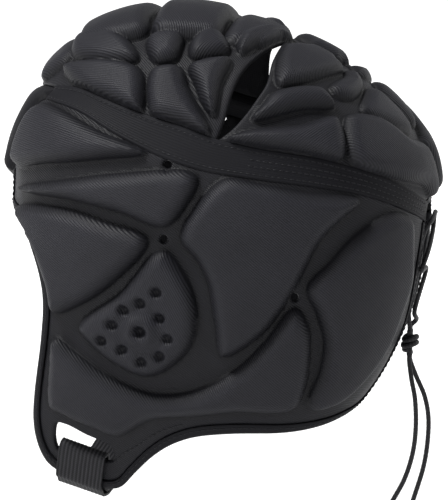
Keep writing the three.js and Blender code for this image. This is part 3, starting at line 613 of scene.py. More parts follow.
# Rear edge up the laced gap: angle about the ear, and millimetres from the midline
REAR_EDGE = [(-56, 12), (-49, 5), (-42, 3), (-36, 4.5), (-30, 9), (-21, 14), (-13, 14.5),
             (-7, 13.5)]
BROW_TOP, BROW_LOW, CROWN_SPLIT, CROWN_REAR = 153, 183, 62, -4
TAPE_SHARE = 0.42

seams = {name: np.array([drawn(corner) for corner in corners])
         for name, corners in SEAM_LINES.items()}
rear = [beside(angle, wide) for angle, wide in REAR_EDGE]
tape_low = even_line([*seams["tape_low"], rear[-1]])
vent_low, vent_high = seams["vent_front"][0], seams["vent_front"][-1]
vent_corner = round((len(tape_low) - 1) * TAPE_SHARE)
tape_high = np.vstack([
    spread(smooth_line([*seams["tape_front"], vent_low]), vent_corner)[:-1],
    spread(smooth_line([vent_low, *seams["tape_back"], beside(-1.5, 8)]),
           len(tape_low) - 1 - vent_corner),
])
vent_front = even_line(seams["vent_front"])
vent_back = even_line([vent_low, *seams["vent_back"][1:-1], vent_high])
free_edge = even_line([*[drawn(corner) for corner in FACE_EDGE], *rear])
brow_seam = even_line([tape_low[0], *seams["brow"][1:-1], free_edge[0]])
brow_low = even_line([polar(BROW_LOW), free_edge[0]])
brow_top = even_line([polar(BROW_TOP), tape_high[0]])
top_seam = even_line([vent_high, polar(CROWN_SPLIT)])
rear_seam = even_line([tape_high[-1], polar(CROWN_REAR)], 5)
bound_line = np.vstack([brow_low[:-1], free_edge])
BOUND = BINDING_WIDTH + 2 * SEAM_GAP

# Pads: corners on the sheet, the way its ribs run on the sheet in degrees, and its share
# of the usual foam
SIDE_PADS = [
    ("brow_upper", [(36, 112), (46, 105), (62, 111), (103, 134), (146, 152), (100, 158),
                    (50, 162), (20, 161)], -20, 1),
    ("brow_middle", [(22, 188), (60, 181), (120, 174), (188, 172), (198, 180), (186, 205),
                     (165, 226), (120, 211), (70, 198)], -35, 1),
    ("brow_lower", [(21, 209), (60, 209), (105, 223), (147, 241), (112, 284), (80, 306),
                    (54, 314), (47, 285), (36, 250)], -40, 1),
    ("ear", [(162, 252), (184, 275), (197, 312), (194, 342), (178, 364), (150, 378),
             (118, 367), (92, 346), (80, 328), (120, 296)], -62, 1),
    ("side", [(226, 180), (262, 185), (310, 194), (360, 201), (344, 216), (321, 240),
              (305, 270), (289, 300), (262, 336), (222, 358), (217, 330), (210, 285),
              (198, 260), (182, 238), (199, 205)], -40, 1),
    ("back", [(394, 212), (408, 219), (409, 245), (406, 280), (396, 312), (381, 348),
              (360, 378), (334, 402), (308, 408), (321, 370), (325, 343), (318, 314),
              (309, 290), (331, 264), (352, 240), (376, 221)], -48, 1),
    ("jaw", [(54, 342), (75, 357), (108, 381), (150, 398), (185, 398), (214, 388),
             (243, 369), (267, 345), (297, 311), (309, 330), (310, 352), (306, 382),
             (294, 408), (240, 414), (190, 419), (150, 423), (120, 438), (96, 431),
             (66, 418), (50, 408), (50, 372)], -45, 1),
]
EAR_PITS = [(143, 331), (159, 292), (143, 303), (126, 310), (115, 325), (105, 341),
            (125, 350), (144, 362), (162, 356), (170, 339), (162, 318)]
VENT_HOLES = [(167, 164), (163, 240), (297, 300)]
STRAP_SLOT = [(54, 429), (64, 430), (84, 440), (108, 451), (112, 457), (112, 466),
              (83, 461), (55, 453)]


class Pad:
    """One foam pad: its loop on the chart and on the head, its rise and its ribs."""

    def __init__(self, loop, rib, foam=1.0, fade=0.0, roll=ROLL, grow=PAD_GROWTH):
        rough, _ = lay(loop, np.zeros(len(loop)))
        size = np.linalg.norm(rough - np.roll(rough, -1, axis=0), axis=1).sum()
        self.loop = turned(spread(np.asarray(loop), round(size / FINE_STEP), closed=True))
        self.loop = self.loop - self.inward() * grow / chart_scale(self.loop)[:, None]
        self.edge, normals = lay(self.loop, np.zeros(len(self.loop)))
        self.rise = FOAM * foam
        self.fade = fade
        self.roll = roll
        middle = normals.mean(axis=0)
        middle /= np.linalg.norm(middle)
        angle = math.radians(rib)
        way = sheet_right * math.cos(angle) + sheet_up * math.sin(angle)
        facing = max(middle @ to_eye, 0.35)
        way = way - to_eye * (way @ middle) / facing
        way -= middle * (way @ middle)
        self.along = way / np.linalg.norm(way)
        self.across = np.cross(middle, self.along)

    def height(self, depth, chart_spots):
        share = np.minimum(depth / self.roll, 1)
        rolled = 0.7 * np.sqrt(1 - (1 - share) ** 2) + 0.3 * np.sin(share * math.pi / 2)
        crown = 0.96 + 0.12 * (1 - np.exp(-depth / 10))
        return self.rise * (1 - self.fade * chart_spots[:, 1]) * rolled * crown

    def inward(self):
        way = np.roll(self.loop, -1, axis=0) - np.roll(self.loop, 1, axis=0)
        way /= np.linalg.norm(way, axis=1)[:, None]
        return np.column_stack([-way[:, 1], way[:, 0]])

    def rings(self):
        """Points in from the edge that give the rolled shoulder its shape."""
        spots = [self.loop]
        inward = self.inward()
        scale = chart_scale(self.loop)[:, None]
        for depth in (0.35, 0.9, 1.8, 3.0, 4.5, 6.2):
            ring = self.loop + inward * depth / scale
            ring = ring[inside(ring, self.loop)]
            there, _ = lay(ring, np.zeros(len(ring)))
            spots.append(ring[line_distance(there, self.edge) > depth * 0.93])
        return np.vstack(spots)


def sheet_pads(table):
    return [Pad(smooth_line([drawn(corner) for corner in corners], closed=True), rib, foam)
            for _, corners, rib, foam in table]


GRID = 1.25
BORDER_RIB = -35
EDGE_ROLL = 1.5
SEAM_TUCK = 1.3


def thinned(spots, there, clear, taken=()):
    """Keeps points that stand clear of those taken and of each other."""
    tree = kdtree.KDTree(len(taken) + len(spots))
    for i, spot in enumerate([*taken, *there]):
        tree.insert(Vector(spot), i)
    tree.balance()
    first = len(taken)
    dropped = set()
    for i, spot in enumerate(there):
        if any(j < first or (j - first < i and j - first not in dropped)
               for _, j, _ in tree.find_range(Vector(spot), clear)
               if j != i + first):
            dropped.add(i)
    return spots[[i for i in range(len(spots)) if i not in dropped]]


def grid_spots(outline, holes, step):
    low, high = outline.min(axis=0), outline.max(axis=0)
    rows = []
    for turn, q in enumerate(np.arange(low[1], high[1], step * 0.87)):
        p = np.arange(low[0] + (turn % 2) * step / 2, high[0], step)
        rows.append(np.column_stack([p, np.full(len(p), q)]))
    spots = np.vstack(rows)
    keep = inside(spots, outline)
    for hole in holes:
        keep &= ~inside(spots, hole)
    return spots[keep]


def patch(loops, spots):
    """Triangles between an outline and its holes, with points inside them."""
    every = np.vstack([*loops, spots])
    edges = []
    first = 0
    for loop in loops:
        count = len(loop)
        edges += [(first + i, first + (i + 1) % count) for i in range(count)]
        first += count
    flat, _, faces, sources, _, _ = geometry.delaunay_2d_cdt(
        [Vector(spot) for spot in every], edges, [], 0, 1e-7)
    flat = np.array([tuple(spot) for spot in flat])
    faces = np.array(faces)
    middles = flat[faces].mean(axis=1)
    keep = inside(middles, loops[0])
    for hole in loops[1:]:
        keep &= ~inside(middles, hole)
    source = [min(found) if found else -1 for found in sources]
    return flat, faces[keep], source


def turned_over(faces, corner_uv):
    """The same faces and their map with their points the other way round."""
    parts = []
    start = 0
    for face in faces:
        parts.append(corner_uv[start:start + len(face)][::-1])
        start += len(face)
    return [face[::-1] for face in faces], np.vstack(parts)


def padded_panel(name, outline, pads, materials, slot, replaced, holes=(), pits=(), whole=False,
                 twin=None):
    """A closed padded panel: padded face, lining on the head and walls between."""
    loops = [outline, *[turned(hole)[::-1] for hole in holes]]
    border = np.vstack(loops)
    border_there, _ = lay(border, np.zeros(len(border)))
    rings = [pad.rings() for pad in pads]
    for pit in pits:
        scale = chart_scale([pit])[0]
        for size in (0.0, 0.5, 1.0, 1.5, 2.0, 2.5, 3.2):
            count = max(1, round(size * 6))
            angle = np.arange(count) / count * math.tau
            rings.insert(0, pit + np.column_stack([np.cos(angle), np.sin(angle)]) * size / scale)
    seam_rings = []
    for loop in loops:
        way = np.roll(loop, -1, axis=0) - np.roll(loop, 1, axis=0)
        way /= np.linalg.norm(way, axis=1)[:, None]
        scale = chart_scale(loop)[:, None]
        for depth in (0.3, 0.8, 1.5):
            seam_rings.append(loop + np.column_stack([-way[:, 1], way[:, 0]]) * depth / scale)
    rings = np.vstack(seam_rings + rings)
    keep = inside(rings, outline)
    for hole in loops[1:]:
        keep &= ~inside(rings, hole)
    rings = rings[keep]
    if whole:
        rings = rings[np.hypot(*rings.T) < CHART - 0.15]
    there, _ = lay(rings, np.zeros(len(rings)))
    rings = thinned(rings, there, 0.24, border_there)
    fixed_there = np.vstack([border_there, lay(rings, np.zeros(len(rings)))[0]])
    grid = grid_spots(outline, loops[1:], GRID / 1.35)
    there, _ = lay(grid, np.zeros(len(grid)))
    grid = thinned(grid, there, 0.82, fixed_there)
    flat, faces, source = patch(loops, np.vstack([rings, grid]))

    on_head, normals = lay(flat, np.zeros(len(flat)))
    rims = []
    for loop in loops:
        marks = np.abs(np.hypot(*loop.T) - CHART) < 1e-6
        rims.append((loop, marks))
    seam_depth = np.full(len(flat), np.inf)
    for loop, marks in rims:
        loop_there, _ = lay(loop, np.zeros(len(loop)))
        if whole and marks.any():
            start = int(np.flatnonzero(marks)[-1])
            if marks[0] and marks[-1]:
                start = int(np.flatnonzero(~marks)[-1]) + 1
            free = [k for k in np.roll(np.arange(len(loop)), -start) if not marks[k]]
            ends = [k for k in range(len(loop)) if marks[k] and
                    (not marks[(k + 1) % len(loop)] or not marks[k - 1])]
            line = [loop_there[k] for k in free]
            first_end = min(ends, key=lambda k: np.linalg.norm(loop_there[k] - line[0]))
            last_end = min(ends, key=lambda k: np.linalg.norm(loop_there[k] - line[-1]))
            line = np.array([loop_there[first_end], *line, loop_there[last_end]])
            seam_depth = np.minimum(seam_depth, line_distance(on_head, line, closed=False))
        else:
            seam_depth = np.minimum(seam_depth, line_distance(on_head, loop_there))
    rolled = np.sqrt(1 - (1 - np.minimum(seam_depth / EDGE_ROLL, 1)) ** 2)
    heights = BORDER * (0.45 + 0.55 * rolled)
    base_height = heights.copy()
    free_of_seam = np.clip((seam_depth - SEAM_TUCK) / 1.2, 0, 1) ** 0.5
    region = np.full(len(flat), -1)
    # Painted shading per point: raised over the pads and lowered near each pad's foot.
    painted_shading = np.full(len(flat), 1.0)
    for i, pad in enumerate(pads):
        reachable = inside(flat, pad.loop)
        depth = np.zeros(len(flat))
        near = np.flatnonzero(reachable)
        depth[near] = line_distance(on_head[near], pad.edge)
        lifted = base_height[near] + pad.height(depth[near], flat[near]) * free_of_seam[near]
        higher = lifted > heights[near]
        region[near[higher]] = i
        painted_shading[near[higher]] = 2 + np.minimum(depth[near[higher]] / 4.5, 1)
        foot = np.flatnonzero(region < 0)
        painted_shading[foot] = np.minimum(painted_shading[foot], line_distance(on_head[foot], pad.edge) / 3)
        heights[near] = np.maximum(heights[near], lifted)
    # Painted shading for the cloth colour: painted shade, darkest in the crease at a pad's foot,
    # a middle tone on the flat border, and painted light over the foam.
    painted_shading = np.where(region < 0, 0.05 + 0.35 * painted_shading, 0.05 + 0.95 * (painted_shading - 2))
    for pit in pits:
        middle, _ = lay([pit], [0])
        away = np.linalg.norm(on_head - middle[0], axis=1)
        share = np.clip(1 - (away / PIT_RADIUS) ** 2, 0, 1)
        lip = 0.3 * np.exp(-((away - PIT_RADIUS - 0.3) / 1.0) ** 2)
        heights += lip - PIT_DEPTH * share ** 1.35
        # Painted shade in each pit of the ear pad.
        painted_shading *= 1 - 0.7 * share
    if len(pits):
        boss, _ = lay([pits[0]], [0])
        away = np.linalg.norm(on_head - boss[0], axis=1)
        heights += 2.1 * np.exp(-((away - BOSS_RING) / 2.2) ** 2)
        heights -= 1.1 * np.exp(-((away - BOSS_RING - 5.2) / 2.6) ** 2)
    lump = np.array([noise.noise(Vector(spot) * 0.045) + 0.5 * noise.noise(Vector(spot) * 0.11)
                     for spot in on_head])
    heights += 0.28 * lump * np.minimum(seam_depth / 6, 1)
    outer = on_head + normals * heights[:, None]

    lining_grid = grid_spots(outline, loops[1:], 3.2)
    there, _ = lay(lining_grid, np.zeros(len(lining_grid)))
    lining_grid = thinned(lining_grid, there, 2.2, border_there)
    low_flat, low_faces, low_source = patch(loops, lining_grid)
    inner, _ = lay(low_flat, np.zeros(len(low_flat)))
    count = len(border)
    outer_at = {s: i for i, s in enumerate(source) if 0 <= s < count}
    inner_at = {s: i for i, s in enumerate(low_source) if 0 <= s < count}

    points = np.vstack([outer, inner])
    painted_shading = np.concatenate([painted_shading, np.zeros(len(inner))])
    base = len(outer)
    all_faces = faces.tolist()
    regions = [int(round(np.median(region[face]))) if (region[face] >= 0).all() else -1
               for face in faces]
    inner_start = len(all_faces)
    all_faces += [[base + c, base + b, base + a] for a, b, c in low_faces]
    first = 0
    for loop, marks in rims:
        size = len(loop)
        for i in range(size):
            n = (i + 1) % size
            if whole and marks[i] and marks[n]:
                continue
            a, b = outer_at.get(first + i), outer_at.get(first + n)
            c, d = inner_at.get(first + i), inner_at.get(first + n)
            if None not in (a, b, c, d):
                all_faces.append([b, a, base + c, base + d])
        first += size
    ways = [(pad.along, pad.across) for pad in pads]
    border_pad = Pad(outline, BORDER_RIB)
    ways.append((border_pad.along, border_pad.across))
    corner_uv = []
    part_of = []
    for k, face in enumerate(all_faces):
        way = ways[regions[k]] if k < inner_start else ways[-1]
        for vertex in face:
            corner_uv.append((points[vertex] @ way[1], points[vertex] @ way[0]))
        part_of.append(0 if k < inner_start else 1)
    corner_uv = np.array(corner_uv)

    if whole:
        count_points = len(points)
        middle_line = np.abs(points[:, 1]) < 1e-6
        mirror = np.where(middle_line, np.arange(count_points),
                          np.arange(count_points) + count_points)
        points = np.vstack([points, points * (1, -1, 1)])
        painted_shading = np.tile(painted_shading, 2)
        far_faces, far_uv = turned_over(all_faces, corner_uv)
        corner_uv = np.vstack([corner_uv, far_uv])
        all_faces = all_faces + [[int(mirror[v]) for v in face] for face in far_faces]
        part_of = part_of + part_of
        used = np.zeros(len(points), bool)
        used[np.concatenate([np.ravel(face) for face in all_faces])] = True
        renumber = np.cumsum(used) - 1
        points = points[used]
        painted_shading = painted_shading[used]
        all_faces = [[int(renumber[v]) for v in face] for face in all_faces]
    panel = new_piece(name, points, all_faces, corner_uv, materials, slot, [replaced], part_of,
                      painted_shading)
    if twin:
        twin_name, twin_node = twin
        other = new_piece(twin_name, points * (1, -1, 1), *turned_over(all_faces, corner_uv),
                          materials, slot, [twin_node], part_of, painted_shading)
    return panel


def ribbed_cloth(start):
    uv = start.node("UVMap", {"uv_map": "weave"})
    over = start.node("SeparateXYZ", {}, {"Vector": uv}, out=0)
    along = start.node("SeparateXYZ", {}, {"Vector": uv}, out=1)
    wander = grain(start, 60, 2)
    phase = over * (math.tau / 1.05) + wander * 2.5
    rib = start.math("SINE", phase) * 0.5 + 0.5
    stitch = start.math("SINE", along * (math.tau / 0.9) + over * 2.7) * 0.5 + 0.5
    fuzz = grain(start, 1400, 2)
    height = rib * 0.55 + stitch * rib * 0.2 + fuzz * 0.35
    bump = start.node("Bump", {}, {"Strength": 0.65, "Distance": 0.0003, "Height": height})
    cloud = grain(start, 26, 4)
    # The colour follows the painted shading: painted shade in creases and pits, painted light on pad tops.
    painted_shading_level = start.node("Attribute", {"attribute_name": "painted_shading"}, out=2)
    share = ((cloud * 0.4 + rib * 0.7 + fuzz * 0.6 - 0.35) * (painted_shading_level * 0.8 + 0.12)
             + painted_shading_level * 0.1).clamp()
    return {
        "Base Color": blend_colors(start, share, (0.0020, 0.0020, 0.0029), (0.0180, 0.0180, 0.0232)),
        "Roughness": (0.44 + fuzz * 0.2).clamp(),
        "Specular IOR Level": 0.17,
        "Sheen Weight": 0.012,
        "Sheen Roughness": 0.5,
        "Sheen Tint": (0.82, 0.84, 0.92, 1),
        "Normal": bump,
    }


def lining_cloth(start):
    uv = start.node("UVMap", {"uv_map": "weave"})
    over = start.node("SeparateXYZ", {}, {"Vector": uv}, out=0)
    along = start.node("SeparateXYZ", {}, {"Vector": uv}, out=1)
    mesh_knit = (start.math("SINE", over * (math.tau / 1.6))
                 * start.math("SINE", along * (math.tau / 1.6))) * 0.5 + 0.5
    fuzz = grain(start, 1200, 2)
    bump = start.node("Bump", {}, {"Strength": 0.5, "Distance": 0.0003,
                                   "Height": mesh_knit * 0.6 + fuzz * 0.4})
    share = (mesh_knit * 0.5 + fuzz * 0.4).clamp()
    return {
        "Base Color": blend_colors(start, share, (0.004, 0.004, 0.005), (0.014, 0.014, 0.016)),
        "Roughness": 0.9,
        "Specular IOR Level": 0.1,
        "Sheen Weight": 0.01,
        "Sheen Roughness": 0.5,
        "Normal": bump,
    }


panel_cloth = finish_material("ribbed_stretch_cloth", ribbed_cloth)
lining = finish_material("lining_mesh", lining_cloth)


def vent_hole(corner):
    middle = drawn(corner)
    size = VENT_RADIUS / chart_scale([middle])[0]
    angle = np.arange(20) / 20 * math.tau
    return middle + np.column_stack([np.cos(angle), np.sin(angle)]) * size


slot_loop = spread(smooth_line([drawn(corner) for corner in STRAP_SLOT], closed=True), 64,
                   closed=True)
side_outline = outline_of([(brow_seam, SEAM_GAP), (bound_line, BOUND),
                           (tape_low[::-1], SEAM_GAP)])
padded_panel("side_panel_left_cover", side_outline, sheet_pads(SIDE_PADS),
             [panel_cloth, lining], "panel_cloth", "side_panel_left",
             holes=[*[vent_hole(corner) for corner in VENT_HOLES], slot_loop],
             pits=[drawn(corner) for corner in EAR_PITS],
             twin=("side_panel_right_cover", "side_panel_right"))

# Crown panels: two padded pieces that meet over the top of the head and leave a leaf-shaped
# vent open on each side. The front one has seven pads a side and four across the midline,
# the back one six a side. Same ribbed cloth over foam as the sides.
CROWN_FRONT_PADS = [
    ("low_1", [(67, 70), (138, 70), (140, 112), (112, 101), (78, 87)], -4, 1),
    ("low_2", [(153, 72), (178, 69), (188, 90), (209, 134), (178, 122), (153, 115)], -10, 1),
    ("low_3", [(190, 68), (230, 62), (221, 86), (214, 116), (204, 105), (196, 86)], -40, 1),
    ("high_1", [(76, 60), (80, 46), (100, 35), (118, 37), (134, 51), (136, 62)], -3, 1),
    ("high_2", [(147, 44), (155, 38), (181, 39), (180, 52), (174, 62), (156, 64)], -42, 1),
    ("high_3", [(192, 44), (204, 36), (218, 37), (228, 54), (192, 60)], 35, 1),
    ("high_4", [(238, 42), (262, 34), (288, 36), (282, 41), (258, 49), (241, 56)], -30, 1),
]
# Pads across the midline: angles about the ear, half widths, foam share and ribs
CROWN_MIDDLE_PADS = [
    (149, 136, 26, 30, 0.65, -5),
    (134, 113, 32, 35, 1.05, -25),
    (111, 88, 36, 34, 1.15, -40),
    (86, 65, 33, 25, 0.75, -30),
]
# Back pads; those next to the midline give that edge as two angles about the ear
CROWN_BACK_PADS = [
    ([(284, 50), (342, 73), (300, 86), (280, 88)], (46, 60), -52, 0.8),
    ([(276, 95), (320, 93), (334, 109), (300, 112), (254, 121), (264, 107)], None, 40, 1),
    ([(228, 141), (250, 132), (300, 128), (336, 121), (342, 160), (300, 152), (256, 146)],
     None, 35, 1),
    ([(352, 102), (338, 99), (331, 91), (346, 80)], (37, 43), -50, 0.65),
    ([(422, 186), (396, 179), (354, 164), (347, 120), (378, 122), (404, 141)], (-1, 14),
     -52, 0.85),
    ([(400, 134), (384, 127), (363, 114), (364, 102)], (17, 34), -48, 0.6),
]


def both_halves(left):
    left = np.asarray(left)
    return smooth_line(np.vstack([left, across(left)[::-1]]), closed=True)


def middle_pad(start, end, start_wide, end_wide, foam, rib):
    wide = (start_wide + end_wide) / 2
    left = [beside(start, start_wide * 0.5), beside(start, start_wide - 4),
            beside(start - 3, start_wide), beside((start + end) / 2, wide + 1),
            beside(end + 3, end_wide), beside(end, end_wide - 4), beside(end, end_wide * 0.5)]
    return Pad(both_halves(left), rib, foam)


def back_pad(corners, midline, rib, foam):
    spots = [drawn(corner) for corner in corners]
    if midline:
        low, high = midline
        spots += [beside(low, 9), beside(low + 2, 5), beside((low + high) / 2, 4),
                  beside(high - 2, 5), beside(high, 9)]
        middle = np.mean(spots, axis=0)
        spots.sort(key=lambda spot: math.atan2(spot[1] - middle[1], spot[0] - middle[0]))
    return Pad(smooth_line(spots, closed=True), rib, foam)


padded_panel("crown_front_cover", outline_of([
    (brow_top, SEAM_GAP), (tape_high[:vent_corner + 1], SEAM_GAP), (vent_front, SEAM_GAP),
    (top_seam, SEAM_GAP)]),
    [*sheet_pads(CROWN_FRONT_PADS), *[middle_pad(*row) for row in CROWN_MIDDLE_PADS]],
    [panel_cloth, lining], "panel_cloth", "crown_front", whole=True)
padded_panel("crown_back_cover", outline_of([
    (top_seam[::-1], SEAM_GAP), (vent_back[::-1], SEAM_GAP),
    (tape_high[vent_corner:], SEAM_GAP), (rear_seam, SEAM_GAP)]),
    [back_pad(*row) for row in CROWN_BACK_PADS],
    [panel_cloth, lining], "panel_cloth", "crown_back", whole=True)

# Brow panel: one smooth foam pad across the middle of the brow, in plain stretch cloth,
# sewn between the two tapes and bound along its lower edge.
BROW_FADE = 0.018
BROW_FOAM = 1.15


def plain_cloth(start):
    fuzz = grain(start, 1300, 2)
    cloud = grain(start, 30, 3)
    bump = start.node("Bump", {}, {"Strength": 0.4, "Distance": 0.0003, "Height": fuzz})
    # The colour follows the painted shading: painted shade at the pad's foot, painted light on its top.
    painted_shading_level = start.node("Attribute", {"attribute_name": "painted_shading"}, out=2)
    share = ((cloud * 0.6 + fuzz * 0.4) * (painted_shading_level * 0.7 + 0.3)).clamp()
    return {
        "Base Color": blend_colors(start, share, (0.0025, 0.0025, 0.0034), (0.013, 0.013, 0.016)),
        "Roughness": 0.65,
        "Specular IOR Level": 0.12,
        "Sheen Weight": 0.01,
        "Sheen Roughness": 0.5,
        "Normal": bump,
    }


brow_cloth = finish_material("plain_stretch_cloth", plain_cloth)
brow_outline = outline_of([(brow_top, SEAM_GAP),
                           (np.array([tape_high[0], tape_low[0]]), 2 * SEAM_GAP),
                           (brow_seam, SEAM_GAP), (bound_line[::-1], BOUND)])
brow_free = np.array([spot for spot in brow_outline if not on_midline(spot)])
jumps = np.linalg.norm(brow_free - np.roll(brow_free, 1, axis=0), axis=1)
brow_free = np.roll(brow_free, -int(np.argmax(jumps)), axis=0)
brow_pad = Pad(np.vstack([brow_free, across(brow_free)[::-1]]), 0, BROW_FOAM, BROW_FADE,
               grow=-1.2)
padded_panel("brow_panel_cover", brow_outline, [brow_pad], [brow_cloth, lining],
             "brow_cloth", "brow_panel", whole=True)

# Crown tapes: flat woven tapes, 2 mm thick, over the seams between crown and sides, with a
# row of stitches along each edge and two more along the rear half.
TAPE_LIFT = 0.2
STITCH_LENGTH = 2.4
STITCH_PITCH = 3.1
THREAD_RADIUS = 0.22


def strip(low, high, profile, pieces):
    """A strip along two chart lines; the profile gives share across, millimetres more
    that way, and height."""
    low, high = (spread(smooth_line(line), pieces) for line in (low, high))
    way = (high - low) / np.linalg.norm(high - low, axis=1)[:, None]
    way /= chart_scale((low + high) / 2)[:, None]
    rows = []
    for share, more, height in profile:
        row, _ = lay(low + (high - low) * share + way * more, np.full(len(low), height))
        rows.append(row)
    return np.stack(rows, axis=1)


def loft(rings, closed=False):
    """Faces, and a map in millimetres, for rings of points laid one after another."""
    count, size = rings.shape[:2]
    faces = []
    corners = []
    run = np.concatenate([[0], np.cumsum(np.linalg.norm(
        np.diff(rings.mean(axis=1), axis=0), axis=1))])
    first = rings[count // 2]
    girth = np.concatenate([[0], np.cumsum(np.linalg.norm(
        np.roll(first, -1, axis=0) - first, axis=1))])
    last = count if closed else count - 1
    for i in range(last):
        n = (i + 1) % count
        ahead = run[n] if n else run[-1] + np.linalg.norm(rings[0].mean(0) - rings[-1].mean(0))
        for k in range(size):
            m = (k + 1) % size
            faces.append([i * size + k, i * size + m, n * size + m, n * size + k])
            corners += [(girth[k], run[i]), (girth[k + 1], run[i]),
                        (girth[k + 1], ahead), (girth[k], ahead)]
    if not closed:
        for ring, backwards in ((0, True), (count - 1, False)):
            face = [ring * size + k for k in range(size)]
            face = face[::-1] if backwards else face
            faces.append(face)
            corners += [(girth[k % size], run[ring]) for k in range(size)]
    points = rings.reshape(-1, 3)
    corners = np.array(corners)
    volume = sum(np.dot(points[f[0]], np.cross(points[f[k]], points[f[k + 1]]))
                 for f in faces for k in range(1, len(f) - 1))
    if volume < 0:
        faces, corners = turned_over(faces, corners)
    return points, faces, corners


def woven_tape(start):
    uv = start.node("UVMap", {"uv_map": "weave"})
    over = start.node("SeparateXYZ", {}, {"Vector": uv}, out=0)
    along = start.node("SeparateXYZ", {}, {"Vector": uv}, out=1)
    line = start.math("SINE", over * (math.tau / 1.25)) * 0.5 + 0.5
    tick = start.math("SINE", along * (math.tau / 0.7)) * 0.5 + 0.5
    fuzz = grain(start, 1100, 2)
    height = line * 0.5 + tick * 0.15 + fuzz * 0.35
    bump = start.node("Bump", {}, {"Strength": 0.45, "Distance": 0.0003, "Height": height})
    cloud = grain(start, 35, 3)
    share = (cloud * 0.5 + line * 0.3 + fuzz * 0.2).clamp()
    return {
        "Base Color": blend_colors(start, share, (0.0020, 0.0020, 0.0028), (0.0090, 0.0090, 0.0115)),
        "Roughness": 0.6,
        "Specular IOR Level": 0.1,
        "Sheen Weight": 0.01,
        "Sheen Roughness": 0.5,
        "Normal": bump,
    }


def thread_finish(start):
    fuzz = grain(start, 2500, 2)
    return {
        "Base Color": blend_colors(start, fuzz, (0.005, 0.005, 0.006), (0.016, 0.016, 0.019)),
        "Roughness": 0.5,
        "Specular IOR Level": 0.2,
        "Sheen Weight": 0.01,
    }


tape_finish = finish_material("woven_tape", woven_tape)
thread = finish_material("sewing_thread", thread_finish)

TAPE_PROFILE = [(0, 0.1, 0), (1, -0.1, 0), (1, -0.08, 2.3), (1, 0.85, 2.5), (1, 0.98, 2.64),
                (1, 0.8, 2.78), (0.97, 0, 2.76), (0.86, 0, 2.5), (0.7, 0, 2.38), (0.5, 0, 2.35),
                (0.3, 0, 2.38), (0.14, 0, 2.5), (0.03, 0, 2.76), (0, -0.8, 2.78),
                (0, -0.98, 2.64), (0, -0.85, 2.5), (0, 0.08, 2.3)]
tape_profile = [(share, more, TAPE_LIFT + height) for share, more, height in TAPE_PROFILE]
tape_rings = strip(tape_low, tape_high, tape_profile, 190)
tape_mesh = loft(tape_rings)
new_piece("crown_tape_left_woven", *tape_mesh, [tape_finish], "tape", ["crown_tape_left"])
new_piece("crown_tape_right_woven", tape_mesh[0] * (1, -1, 1), *turned_over(*tape_mesh[1:]), [tape_finish], "tape",
          ["crown_tape_right"])


def stitches(name, rows, slot):
    """Rows of short stitches, each a small humped bar of thread sunk into the cloth."""
    points = []
    faces = []
    for line, out_ways in rows:
        run = np.concatenate([[0], np.cumsum(np.linalg.norm(np.diff(line, axis=0), axis=1))])
        for start in np.arange(0.8, run[-1] - STITCH_LENGTH, STITCH_PITCH):
            marks = start + np.array([0, 0.12, 0.5, 0.88, 1]) * STITCH_LENGTH
            spots = np.column_stack([np.interp(marks, run, line[:, k]) for k in range(3)])
            out = np.column_stack([np.interp(marks, run, out_ways[:, k]) for k in range(3)])
            spots = spots + out * np.array([[-0.25], [0.02], [0.14], [0.02], [-0.25]])
            way = spots[-1] - spots[0]
            way /= np.linalg.norm(way)
            side = np.cross(way, out[2])
            side /= np.linalg.norm(side)
            lift = np.cross(side, way)
            base = len(points)
            for spot, size in zip(spots, (0.5, 0.95, 1, 0.95, 0.5)):
                for turn in range(6):
                    angle = turn * math.tau / 6
                    points.append(spot + (side * math.cos(angle) + lift * math.sin(angle))
                                  * THREAD_RADIUS * size)
            for i in range(4):
                for k in range(6):
                    m = (k + 1) % 6
                    faces.append([base + i * 6 + k, base + (i + 1) * 6 + k,
                                  base + (i + 1) * 6 + m, base + i * 6 + m])
            faces.append([base + k for k in range(6)])
            faces.append([base + 24 + k for k in range(5, -1, -1)])
    points = np.array(points)
    count = len(points)
    faces = faces + [[v + count for v in face[::-1]] for face in faces]
    points = np.vstack([points, points * (1, -1, 1)])
    return new_piece(name, points, faces, None, [thread], slot)


def chart_row(line, height, pieces=160):
    return lay(spread(smooth_line(line), pieces), np.full(pieces + 1, height))


rear_half = len(tape_low) // 2
tape_rows = []
for share, first in ((0.1, 0), (0.9, 0), (0.38, rear_half), (0.62, rear_half)):
    middle = tape_low + (tape_high - tape_low) * share
    rise = TAPE_LIFT + (2.58 if share in (0.1, 0.9) else 2.37)
    tape_rows.append(chart_row(middle[first:], rise))
stitches("tape_stitches", tape_rows, "tape")

# Chin seam: one row of sewing thread that holds the folded cloth along the chin, a little
# inside the bound edge.
CHIN_SEAM = [(112, 468), (122, 459), (136, 451), (151, 441), (166, 434), (184, 429)]
stitches("chin_stitches", [chart_row([drawn(corner) for corner in CHIN_SEAM], BORDER + 0.1, 60)],
         "panel_cloth")

# Edge binding: folded elastic binding round the whole free edge, 4.4 mm wide and 3.4 mm
# thick, rounded over the edge, with a row of stitches near its inner side.
BINDING_THICK = 3.4
bound_side = 1 if area(np.vstack([bound_line, tape_low[::-1], brow_seam[:2]])) > 0 else -1
bound_inner = shifted(bound_line, BINDING_WIDTH * bound_side)
END_GAP = 0.2
for line in (bound_line, bound_inner):
    line[-1] = line[-1] + (line[-2] - line[-1]) * END_GAP
BINDING_PROFILE = [(0, 0.1, 0.9), (0, 0, 1.7), (0, 0.25, 2.45), (0.22, 0, 2.95), (0.5, 0, 3.25),
                   (0.85, 0, 3.4), (1, 0.5, 3.4), (1, 1.0, 3.2), (1, 1.1, 2.95), (1, 0.7, 2.8),
                   (1, 0, 2.7), (1, 0, 0.6), (0.9, 0, 0.25), (0.5, 0, 0.15), (0.12, 0, 0.35)]
binding_left = strip(bound_line, bound_inner, BINDING_PROFILE, 520)
